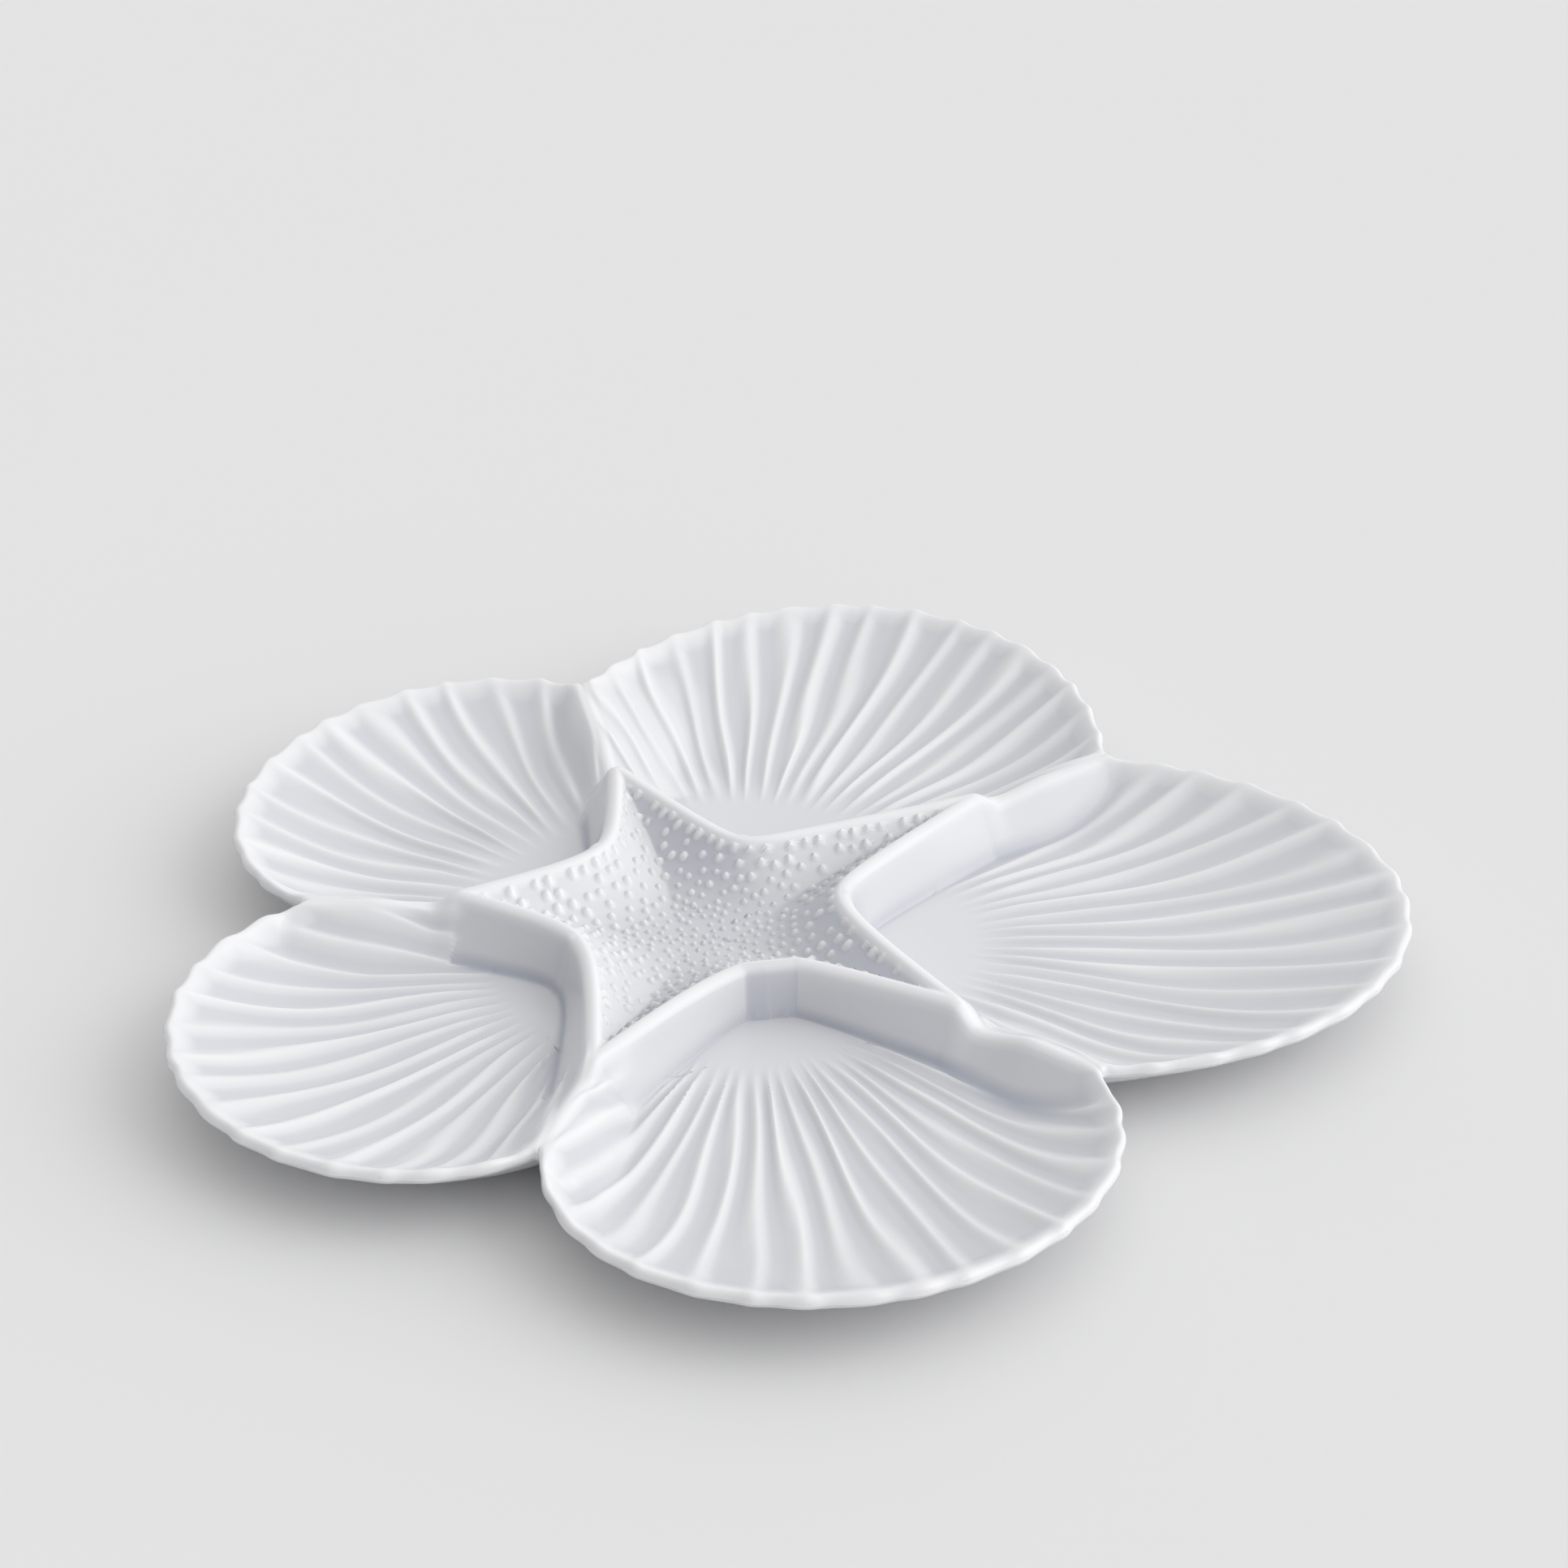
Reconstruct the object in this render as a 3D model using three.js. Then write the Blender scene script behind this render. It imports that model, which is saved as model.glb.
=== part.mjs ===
// A divided platter: five fluted shell dishes luted round a starfish-shaped well, on five low foot rings.
// Millimetres, +Z up. The platter stands on z = 0, with -Y towards the front and the origin under the middle
// of its box. Bearings are in degrees about the starfish, from the front (-Y) towards the right (+X).
import * as THREE from 'three';

// Driving dimensions of each shell: the bearing of its axis, the distance from the starfish to the middle of
// its oval rim, the rim's half length along the axis and half width across it, its number of flutes, the
// bearing and radius of the starfish's inner corner at its hinge, the bearing and radius of the starfish's tip
// just after it, and the height of the dip in the divider behind that tip.

// Front shell
const FRONT_BEARING = 17;
const FRONT_RIM_CENTRE = 117;
const FRONT_HALF_LENGTH = 66;
const FRONT_HALF_WIDTH = 78;
const FRONT_FLUTES = 17;
const FRONT_HINGE_BEARING = 24.5;
const FRONT_CORNER = 36.5;
const FRONT_TIP_BEARING = 52.2;
const FRONT_TIP = 86.5;
const FRONT_DIP = 18;

// Right shell
const RIGHT_BEARING = 90;
const RIGHT_RIM_CENTRE = 101;
const RIGHT_HALF_LENGTH = 99;
const RIGHT_HALF_WIDTH = 81;
const RIGHT_FLUTES = 17;
const RIGHT_HINGE_BEARING = 90.5;
const RIGHT_CORNER = 37.5;
const RIGHT_TIP_BEARING = 124;
const RIGHT_TIP = 93;
const RIGHT_DIP = 20.5;

// Back shell
const BACK_BEARING = 158;
const BACK_RIM_CENTRE = 83;
const BACK_HALF_LENGTH = 98;
const BACK_HALF_WIDTH = 85;
const BACK_FLUTES = 17;
const BACK_HINGE_BEARING = 160.5;
const BACK_CORNER = 30.5;
const BACK_TIP_BEARING = 203;
const BACK_TIP = 73.5;
const BACK_DIP = 17;

// Back left shell
const BACK_LEFT_BEARING = 232;
const BACK_LEFT_RIM_CENTRE = 98;
const BACK_LEFT_HALF_LENGTH = 59;
const BACK_LEFT_HALF_WIDTH = 71;
const BACK_LEFT_FLUTES = 14;
const BACK_LEFT_HINGE_BEARING = 233;
const BACK_LEFT_CORNER = 40.5;
const BACK_LEFT_TIP_BEARING = 269.7;
const BACK_LEFT_TIP = 71;
const BACK_LEFT_DIP = 20;

// Front left shell
const FRONT_LEFT_BEARING = 306;
const FRONT_LEFT_RIM_CENTRE = 103;
const FRONT_LEFT_HALF_LENGTH = 63;
const FRONT_LEFT_HALF_WIDTH = 69;
const FRONT_LEFT_FLUTES = 15;
const FRONT_LEFT_HINGE_BEARING = 300;
const FRONT_LEFT_CORNER = 41.5;
const FRONT_LEFT_TIP_BEARING = 339.3;
const FRONT_LEFT_TIP = 85;
const FRONT_LEFT_DIP = 18.5;

// Heights above the table
const RIM_HEIGHT = 22;
const STAR_RIM_HEIGHT = 25;
const FOOT_HEIGHT = 2.2;

// Walls, ridges and joints
const JOINT_GAP = 0.3;
const FLOOR_THICKNESS = 5.5;
const LIP_HEIGHT = 5.5;
const LIP_WIDTH = 3.2;
const LIP_CHAMFER = 1.2;
const RIDGE_HALF_WIDTH = 2;
const HINGE_WALL_WIDTH = 9.5;
const NOTCH_WALL_WIDTH = 15;
const HINGE_FACET_WIDTH = 13.5;
const FILLET = 2.5;
const KNUCKLE_LENGTH = 9;
const DIP_LENGTH = 18;
const NOTCH_BLEND = 7;

// Shell floors
const HINGE_ROUNDING = 8;
const FOCUS_RADIUS = 26;
const FLAT_PAD = 4;
const BOWL_START = 0.55;
const BOWL_SIDE_START = 0.72;
const BOWL_POWER = 2;
const FLUTE_DEPTH = 1.6;
const FLUTE_START = 0.12;
const FLUTE_FULL = 0.4;
const SCALLOP_DEPTH = 0.9;

// Starfish well
const STAR_DEPTH = 12;
const STAR_FALL = 12;
const STAR_LIP_WIDTH = 2;

// Foot rings
const FOOT_OUTER_RADIUS = 22;
const FOOT_WIDTH = 6;
const FOOT_CHAMFER = 0.8;
const FOOT_DISTANCE = 62;

// Fineness of the facets
const SAMPLES_PER_FLUTE = 2;
const DIVIDER_STEPS = 6;
const STAR_EDGE_STEPS = 7;
const FOOT_SEGMENTS = 28;
const RIM_SCAN_STEPS = 240;
const DISH_ROWS = [0.12, 0.26, 0.4, 0.55, 0.66, 0.77, 0.86, 0.93];
const WALL_FOOT_ROW = 0.66;
const UNDER_ROWS = [0.55, 0.8];
const STAR_ROWS = [0.3, 0.55, 0.75, 0.9];

const FULL_TURN = 360;

// The shells in order of bearing, as each one's neighbours are found from it
const SHELLS = [
  {
    name: 'front',
    bearing: FRONT_BEARING,
    centre: FRONT_RIM_CENTRE,
    halfLength: FRONT_HALF_LENGTH,
    halfWidth: FRONT_HALF_WIDTH,
    flutes: FRONT_FLUTES,
    hinge: FRONT_HINGE_BEARING,
    corner: FRONT_CORNER,
    tipBearing: FRONT_TIP_BEARING,
    tip: FRONT_TIP,
    dip: FRONT_DIP,
  },
  {
    name: 'right',
    bearing: RIGHT_BEARING,
    centre: RIGHT_RIM_CENTRE,
    halfLength: RIGHT_HALF_LENGTH,
    halfWidth: RIGHT_HALF_WIDTH,
    flutes: RIGHT_FLUTES,
    hinge: RIGHT_HINGE_BEARING,
    corner: RIGHT_CORNER,
    tipBearing: RIGHT_TIP_BEARING,
    tip: RIGHT_TIP,
    dip: RIGHT_DIP,
  },
  {
    name: 'back',
    bearing: BACK_BEARING,
    centre: BACK_RIM_CENTRE,
    halfLength: BACK_HALF_LENGTH,
    halfWidth: BACK_HALF_WIDTH,
    flutes: BACK_FLUTES,
    hinge: BACK_HINGE_BEARING,
    corner: BACK_CORNER,
    tipBearing: BACK_TIP_BEARING,
    tip: BACK_TIP,
    dip: BACK_DIP,
  },
  {
    name: 'back_left',
    bearing: BACK_LEFT_BEARING,
    centre: BACK_LEFT_RIM_CENTRE,
    halfLength: BACK_LEFT_HALF_LENGTH,
    halfWidth: BACK_LEFT_HALF_WIDTH,
    flutes: BACK_LEFT_FLUTES,
    hinge: BACK_LEFT_HINGE_BEARING,
    corner: BACK_LEFT_CORNER,
    tipBearing: BACK_LEFT_TIP_BEARING,
    tip: BACK_LEFT_TIP,
    dip: BACK_LEFT_DIP,
  },
  {
    name: 'front_left',
    bearing: FRONT_LEFT_BEARING,
    centre: FRONT_LEFT_RIM_CENTRE,
    halfLength: FRONT_LEFT_HALF_LENGTH,
    halfWidth: FRONT_LEFT_HALF_WIDTH,
    flutes: FRONT_LEFT_FLUTES,
    hinge: FRONT_LEFT_HINGE_BEARING,
    corner: FRONT_LEFT_CORNER,
    tipBearing: FRONT_LEFT_TIP_BEARING,
    tip: FRONT_LEFT_TIP,
    dip: FRONT_LEFT_DIP,
  },
];

// Derived heights
const BASE_HEIGHT = FOOT_HEIGHT + JOINT_GAP;
const FLOOR_HEIGHT = BASE_HEIGHT + FLOOR_THICKNESS;

const PORCELAIN = { color: 0xeeeef0, roughness: 0.18, metalness: 0 };
const BISQUE = { color: 0xe4ded2, roughness: 0.85, metalness: 0 };

const smoothstep = THREE.MathUtils.smoothstep;
const lerp = THREE.MathUtils.lerp;

// The larger of two heights, rounded over where they are within a fillet of each other
function roundedMax(a, b, fillet) {
  const overlap = Math.max(fillet - Math.abs(a - b), 0) / fillet;
  return Math.max(a, b) + overlap * overlap * fillet / 4;
}

// Point at a radius and bearing about the starfish
function polar(radius, bearing) {
  const angle = THREE.MathUtils.degToRad(bearing);
  return new THREE.Vector2(radius * Math.sin(angle), -radius * Math.cos(angle));
}

// Distance from the starfish to a shell's oval rim at a bearing
function rimRadius(shell, bearing) {
  const angle = THREE.MathUtils.degToRad(bearing - shell.bearing);
  const along = Math.cos(angle) / shell.halfLength;
  const across = Math.sin(angle) / shell.halfWidth;
  const offset = shell.centre / shell.halfLength;
  const squared = along * along + across * across;
  const root = along * along * offset * offset - squared * (offset * offset - 1);
  return root > 0 ? (along * offset + Math.sqrt(root)) / squared : 0;
}

// Bearing of the divider after a shell, where its rim and the next one's are equally far out
function dividerBearing(shell, next) {
  let low = shell.bearing;
  let high = next.bearing > low ? next.bearing : next.bearing + FULL_TURN;
  while (high - low > 1e-6) {
    const middle = (low + high) / 2;
    if (rimRadius(shell, middle) > rimRadius(next, middle)) {
      low = middle;
    } else {
      high = middle;
    }
  }
  return low;
}

// Each shell with its neighbours, the dividers on both sides and the starfish tips where these start
const LAYOUT = SHELLS.map((shell, index) => {
  const before = SHELLS.at(index - 1);
  const after = SHELLS[(index + 1) % SHELLS.length];
  const end = dividerBearing(shell, after);
  const start = dividerBearing(before, shell) % FULL_TURN;
  return { ...shell, before, after, end, start: start < shell.bearing ? start : start - FULL_TURN };
});

// A dish's frame turns its own coordinates, x out from its hinge and y across, into the platter's
function toPlatter(shell, x, y) {
  const along = polar(1, shell.hinge);
  return new THREE.Vector2(along.x * x - along.y * y, along.y * x + along.x * y);
}

function toShell(shell, point) {
  const along = polar(1, shell.hinge);
  return new THREE.Vector2(point.dot(along), along.cross(point));
}

// Starfish edge from the inner corner at a shell's hinge to one tip: a rounded corner that runs out straight
function starEdge(shell, tip) {
  const base = shell.corner - HINGE_ROUNDING;
  const spread = Math.sqrt((tip.x - base) ** 2 - HINGE_ROUNDING ** 2) / tip.y;
  const points = [];
  for (let step = 0; step <= STAR_EDGE_STEPS; step++) {
    const y = tip.y * step / STAR_EDGE_STEPS;
    points.push(new THREE.Vector2(base + Math.hypot(HINGE_ROUNDING, spread * y), y));
  }
  return points;
}

// The starfish's tip after a shell, in the frame of a dish
function tipPoint(shell, owner) {
  return toShell(shell, polar(owner.tip, owner.tipBearing));
}

// The starfish's edge across a shell's hinge, from the tip after it, round the corner, to the tip before it
function hingeEdge(shell) {
  const after = starEdge(shell, tipPoint(shell, shell));
  const before = starEdge(shell, tipPoint(shell, shell.before));
  return [...after.reverse(), ...before.slice(1)];
}

// Ridge points of a divider, straight from the starfish tip after its owner to the notch between two rims. It
// steps down behind the tip's knuckle and soon climbs again to the height of the rim.
function dividerRidge(shell, owner, bearing) {
  const tip = tipPoint(shell, owner);
  const notch = toShell(shell, polar(rimRadius(shell, bearing) + NOTCH_BLEND / 4, bearing));
  const length = notch.distanceTo(tip);
  const points = [];
  for (let step = 1; step <= DIVIDER_STEPS; step++) {
    const share = (step - 1) / (DIVIDER_STEPS - 1);
    const passed = lerp(KNUCKLE_LENGTH, length, share);
    const point = tip.clone().lerp(notch, passed / length);
    const climb = smoothstep(passed, KNUCKLE_LENGTH, KNUCKLE_LENGTH + DIP_LENGTH);
    points.push({ point, height: lerp(owner.dip, RIM_HEIGHT, climb), share });
  }
  return points;
}

// Points along a shell's rim from the divider before it to the one after it, evenly spaced, with the notches
// at its ends filled in and each flute bulging out between two crests
function rimPoints(shell) {
  const scan = [];
  for (let step = 0; step <= RIM_SCAN_STEPS; step++) {
    const bearing = lerp(shell.start, shell.end, step / RIM_SCAN_STEPS);
    const next = bearing < shell.bearing ? shell.before : shell.after;
    const radius = roundedMax(rimRadius(shell, bearing), rimRadius(next, bearing), NOTCH_BLEND);
    scan.push(new THREE.Vector3(...toShell(shell, polar(radius, bearing)), 0));
  }
  const curve = new THREE.CatmullRomCurve3(scan);
  const steps = shell.flutes * SAMPLES_PER_FLUTE;
  const points = [];
  for (let step = 1; step < steps; step++) {
    const share = step / steps;
    const flute = Math.abs(Math.sin(Math.PI * share * shell.flutes));
    const tangent = curve.getTangentAt(share);
    const bulge = SCALLOP_DEPTH * flute;
    const point = curve.getPointAt(share);
    points.push({ point: new THREE.Vector2(point.x + tangent.y * bulge, point.y - tangent.x * bulge), flute });
  }
  return points;
}

// Moves the points of a seam off the middle of its joint, to the left of its direction, by half the joint gap
function offSeam(points, closed) {
  const count = points.length;
  return points.map((point, index) => {
    const before = closed ? points.at(index - 1) : points[Math.max(index - 1, 0)];
    const after = closed ? points[(index + 1) % count] : points[Math.min(index + 1, count - 1)];
    const normals = [[before, point], [point, after]]
      .map(([from, to]) => new THREE.Vector2(from.y - to.y, to.x - from.x))
      .filter((normal) => normal.length() > 0)
      .map((normal) => normal.normalize());
    const mean = normals.reduce((sum, normal) => sum.add(normal), new THREE.Vector2());
    mean.normalize();
    return point.clone().addScaledVector(mean, JOINT_GAP / 2 / mean.dot(normals.at(-1)));
  });
}

// The closed outline of a shell, counterclockwise: its rim, the divider after it, its hinge and the divider
// before it. Seam points know the height of the ridge there and the width of the wall below it, which grows from
// the hinge to the notches; spread says how far along a divider a point lies.
function shellOutline(shell) {
  const rim = rimPoints(shell).map(({ point, flute }) => ({ point, flute, spread: 1, onRim: true }));
  const after = dividerRidge(shell, shell, shell.end).reverse();
  const before = dividerRidge(shell, shell.before, shell.start);
  const hinge = hingeEdge(shell).map((point) => ({ point, height: STAR_RIM_HEIGHT, share: 0 }));
  const seam = [...after, ...hinge, ...before];
  const moved = offSeam(seam.map(({ point }) => point), false);
  const walls = seam.map(({ height, share }, index) => {
    const end = index < seam.length / 2 ? moved[0] : moved.at(-1);
    const along = (moved[index].x - shell.corner) / (end.x - shell.corner);
    const width = lerp(HINGE_WALL_WIDTH, NOTCH_WALL_WIDTH, along);
    return { point: moved[index], ridge: height, width, spread: share, flute: 0, onRim: false };
  });
  return { outline: [...rim, ...walls], walls, fan: rim.map(({ point }) => fromFocus(point)) };
}

// Direction and distance of a point of a dish from the focus that its flutes spread from
function fromFocus(point) {
  const away = new THREE.Vector2(point.x - FOCUS_RADIUS, point.y);
  return { angle: Math.atan2(away.y, away.x), reach: away.length() };
}

// Rise of a bowl at a point, from 0 on the floor to 1 at the rim, with the given width of level lip. It starts
// at a share of the way from the focus to the rim, later at the sides than in the middle.
function bowlRise(fan, point, lipWidth) {
  const { angle, reach } = fromFocus(point);
  const next = fan.findIndex((entry) => entry.angle > angle);
  const after = fan.at(next);
  const before = fan[Math.max(next < 0 ? fan.length - 1 : next - 1, 0)];
  const between = after === before ? 0 : (angle - before.angle) / (after.angle - before.angle);
  const rimReach = lerp(before.reach, after.reach, between);
  const side = Math.min(angle / fan.at(angle < 0 ? 0 : -1).angle, 1);
  const start = lerp(BOWL_START, BOWL_SIDE_START, side * side);
  const out = Math.min(reach / (rimReach - lipWidth), 1);
  return Math.max((out - start) / (1 - start), 0) ** BOWL_POWER;
}

// Distance from a point to the seam of a shell, and the ridge height and wall width at the nearest place on it
function nearestRidge(walls, point) {
  let best = { distance: Infinity, ridge: 0, width: 0 };
  for (let index = 1; index < walls.length; index++) {
    const from = walls[index - 1];
    const to = walls[index];
    const run = to.point.clone().sub(from.point);
    const share = THREE.MathUtils.clamp(point.clone().sub(from.point).dot(run) / run.lengthSq(), 0, 1);
    const distance = from.point.clone().addScaledVector(run, share).distanceTo(point);
    if (distance < best.distance) {
      best = { distance, ridge: lerp(from.ridge, to.ridge, share), width: lerp(from.width, to.width, share) };
    }
  }
  return best;
}

// Height of a wall at a distance from the middle of its rounded ridge. It meets the floor at the wall's width.
function wallHeight(ridge, width, distance) {
  const roundDrop = RIDGE_HALF_WIDTH / 2;
  const slope = (ridge - roundDrop - FLOOR_HEIGHT) / (width - RIDGE_HALF_WIDTH);
  const past = Math.max(distance - RIDGE_HALF_WIDTH, 0);
  const onTop = Math.min(distance / RIDGE_HALF_WIDTH, 1);
  return ridge - onTop * onTop * roundDrop - past * slope;
}

// A closed skin over rings of points, each ring counterclockwise: a fan from the middle on top, rows out to
// the edge, and the same underneath
function closedSkin(topMiddle, topRings, underRings, underMiddle) {
  const rings = [...topRings, ...underRings];
  const count = topRings[0].length;
  const positions = [...topMiddle, ...rings.flat().flatMap((point) => [...point]), ...underMiddle];
  const last = positions.length / 3 - 1;
  const indices = [];
  for (let side = 0; side < count; side++) {
    const next = (side + 1) % count;
    indices.push(0, 1 + side, 1 + next);
    for (let ring = 1; ring < rings.length; ring++) {
      const inner = 1 + (ring - 1) * count;
      const outer = inner + count;
      indices.push(inner + side, outer + side, outer + next, inner + side, outer + next, inner + next);
    }
    const final = 1 + (rings.length - 1) * count;
    indices.push(final + side, last, final + next);
  }
  const geometry = new THREE.BufferGeometry();
  geometry.setAttribute('position', new THREE.Float32BufferAttribute(positions, 3));
  geometry.setIndex(indices);
  geometry.computeVertexNormals();
  return geometry;
}

function namedMesh(name, geometry, look) {
  const mesh = new THREE.Mesh(geometry, new THREE.MeshStandardMaterial(look));
  mesh.name = name;
  return mesh;
}

// One shell dish. Its columns run straight from a pad in front of the hinge to each point of the outline.
function makeShell(shell) {
  const { outline, walls, fan } = shellOutline(shell);
  const pad = shell.corner + HINGE_FACET_WIDTH + FLAT_PAD;
  const count = outline.length;
  const columns = outline.map((entry, index) => {
    const before = outline.at(index - 1).point;
    const after = outline[(index + 1) % count].point;
    const out = new THREE.Vector2(after.y - before.y, before.x - after.x).normalize();
    const reach = entry.point.clone().sub(new THREE.Vector2(pad, 0)).dot(out);
    const foot = entry.onRim ? WALL_FOOT_ROW : 1 - entry.width / reach;
    return { ...entry, lip: 1 - LIP_WIDTH / reach, foot: lerp(foot, WALL_FOOT_ROW, entry.spread ** 3) };
  });
  const rowShare = (column, row) => {
    const pastFoot = (row - WALL_FOOT_ROW) / (1 - WALL_FOOT_ROW);
    return pastFoot < 0 ? column.foot * row / WALL_FOOT_ROW : lerp(column.foot, column.lip, pastFoot);
  };
  const place = (column, share) => new THREE.Vector2(lerp(pad, column.point.x, share), column.point.y * share);
  const dishHeight = (column, share) => {
    const point = place(column, share);
    const rise = bowlRise(fan, point, LIP_WIDTH);
    const fade = smoothstep(share, FLUTE_START, FLUTE_FULL);
    const crest = column.onRim ? FLUTE_DEPTH * fade * (1 - column.flute) * (1 - rise) : 0;
    const floor = FLOOR_HEIGHT + (RIM_HEIGHT - FLOOR_HEIGHT) * rise + crest;
    const { distance, ridge, width } = nearestRidge(walls, point);
    const facet = wallHeight(STAR_RIM_HEIGHT, HINGE_FACET_WIDTH, Math.max(point.x - shell.corner, 0));
    const wall = Math.max(wallHeight(ridge, width, distance), facet);
    return Math.min(roundedMax(floor, wall, FILLET), Math.max(ridge, RIM_HEIGHT));
  };
  const ring = (shareOf, heightOf) => columns.map((column) => {
    const share = shareOf(column);
    const platter = toPlatter(shell, ...place(column, share));
    return new THREE.Vector3(platter.x, platter.y, heightOf(column, share));
  });
  const underHeight = (column, share) => {
    return lerp(BASE_HEIGHT, RIM_HEIGHT - LIP_HEIGHT, bowlRise(fan, place(column, share), 0));
  };
  const edgeHeight = (column) => (column.onRim ? RIM_HEIGHT - LIP_CHAMFER : column.ridge);
  const topRings = [
    ...DISH_ROWS.map((row) => ring((column) => rowShare(column, row), dishHeight)),
    ring((column) => column.lip, dishHeight),
    ring(() => 1, edgeHeight),
  ];
  const underRings = [1, ...UNDER_ROWS.toReversed()].map((row) => ring(() => row, underHeight));
  const middle = toPlatter(shell, pad, 0);
  const top = new THREE.Vector3(middle.x, middle.y, FLOOR_HEIGHT);
  const under = new THREE.Vector3(middle.x, middle.y, BASE_HEIGHT);
  return namedMesh(`shell_dish_${shell.name}`, closedSkin(top, topRings, underRings, under), PORCELAIN);
}

// The starfish well: a raised edge, and a valley down the middle of each arm that deepens to the centre
function makeStarfish() {
  const edge = LAYOUT.flatMap((shell) => hingeEdge(shell).slice(1).reverse().map((point) => toPlatter(shell, ...point)));
  const outline = offSeam(edge, true);
  const walls = [...outline, outline[0]].map((point) => ({ point, ridge: STAR_RIM_HEIGHT }));
  const height = (point) => {
    const { distance } = nearestRidge(walls, point);
    const onTop = smoothstep(distance, 0, STAR_LIP_WIDTH);
    return STAR_RIM_HEIGHT - STAR_DEPTH * (1 - Math.exp(-distance / STAR_FALL)) * onTop;
  };
  const ring = (row, heightOf) => outline.map((point) => {
    const place = point.clone().multiplyScalar(row);
    return new THREE.Vector3(place.x, place.y, heightOf(place));
  });
  const topRings = [...STAR_ROWS.map((row) => ring(row, height)), ring(1, () => STAR_RIM_HEIGHT)];
  const underRings = [ring(1, () => BASE_HEIGHT)];
  const top = new THREE.Vector3(0, 0, height(new THREE.Vector2()));
  const under = new THREE.Vector3(0, 0, BASE_HEIGHT);
  return namedMesh('starfish_well', closedSkin(top, topRings, underRings, under), PORCELAIN);
}

// A low foot ring under a shell's floor, eased at its standing edges
function makeFoot(shell) {
  const inner = FOOT_OUTER_RADIUS - FOOT_WIDTH;
  const profile = [
    [inner + FOOT_CHAMFER, 0],
    [FOOT_OUTER_RADIUS - FOOT_CHAMFER, 0],
    [FOOT_OUTER_RADIUS, FOOT_CHAMFER],
    [FOOT_OUTER_RADIUS, FOOT_HEIGHT],
    [inner, FOOT_HEIGHT],
    [inner, FOOT_CHAMFER],
    [inner + FOOT_CHAMFER, 0],
  ].map(([radius, height]) => new THREE.Vector2(radius, height));
  const geometry = new THREE.LatheGeometry(profile, FOOT_SEGMENTS);
  geometry.rotateX(Math.PI / 2);
  const mesh = namedMesh(`foot_ring_${shell.name}`, geometry, BISQUE);
  const place = toPlatter(shell, shell.corner + FOOT_DISTANCE, 0);
  mesh.position.set(place.x, place.y, 0);
  return mesh;
}

const platter = new THREE.Group();
platter.name = 'platter';
platter.add(makeStarfish());
for (const shell of LAYOUT) {
  platter.add(makeShell(shell), makeFoot(shell));
}

// The origin goes under the middle of the platter's box
platter.updateMatrixWorld(true);
const middle = new THREE.Box3().setFromObject(platter).getCenter(new THREE.Vector3());
platter.position.set(-middle.x, -middle.y, 0);

export default platter;
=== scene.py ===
"""Dresses the divided platter: five fluted porcelain shells round a nodule-covered starfish well.

Everything is in metres, in the frame of the loaded solids: +Z up, -Y to the front. Plan points are complex
numbers. Bearings go round the middle of the starfish, from the front (-Y) towards the right (+X).
"""

import math
from types import SimpleNamespace

import bpy
import numpy as np
from bpy.props import (
    CollectionProperty, FloatProperty, FloatVectorProperty, IntProperty, PointerProperty
)
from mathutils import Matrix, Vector


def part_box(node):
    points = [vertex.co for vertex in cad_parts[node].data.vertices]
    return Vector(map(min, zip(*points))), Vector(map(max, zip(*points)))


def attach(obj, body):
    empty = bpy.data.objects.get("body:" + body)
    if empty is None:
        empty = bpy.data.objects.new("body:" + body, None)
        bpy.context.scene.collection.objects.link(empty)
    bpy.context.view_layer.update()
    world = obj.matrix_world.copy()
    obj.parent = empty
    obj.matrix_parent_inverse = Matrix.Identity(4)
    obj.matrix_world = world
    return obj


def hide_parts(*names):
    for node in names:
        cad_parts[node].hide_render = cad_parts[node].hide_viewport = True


bl_info = {
    "name": "Shell Platter",
    "version": (1, 0, 0),
    "blender": (4, 5, 0),
    "location": "View3D > Sidebar > Platter",
    "description": "Models a divided porcelain platter of five fluted shells round a starfish well",
    "category": "Add Mesh",
}

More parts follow.
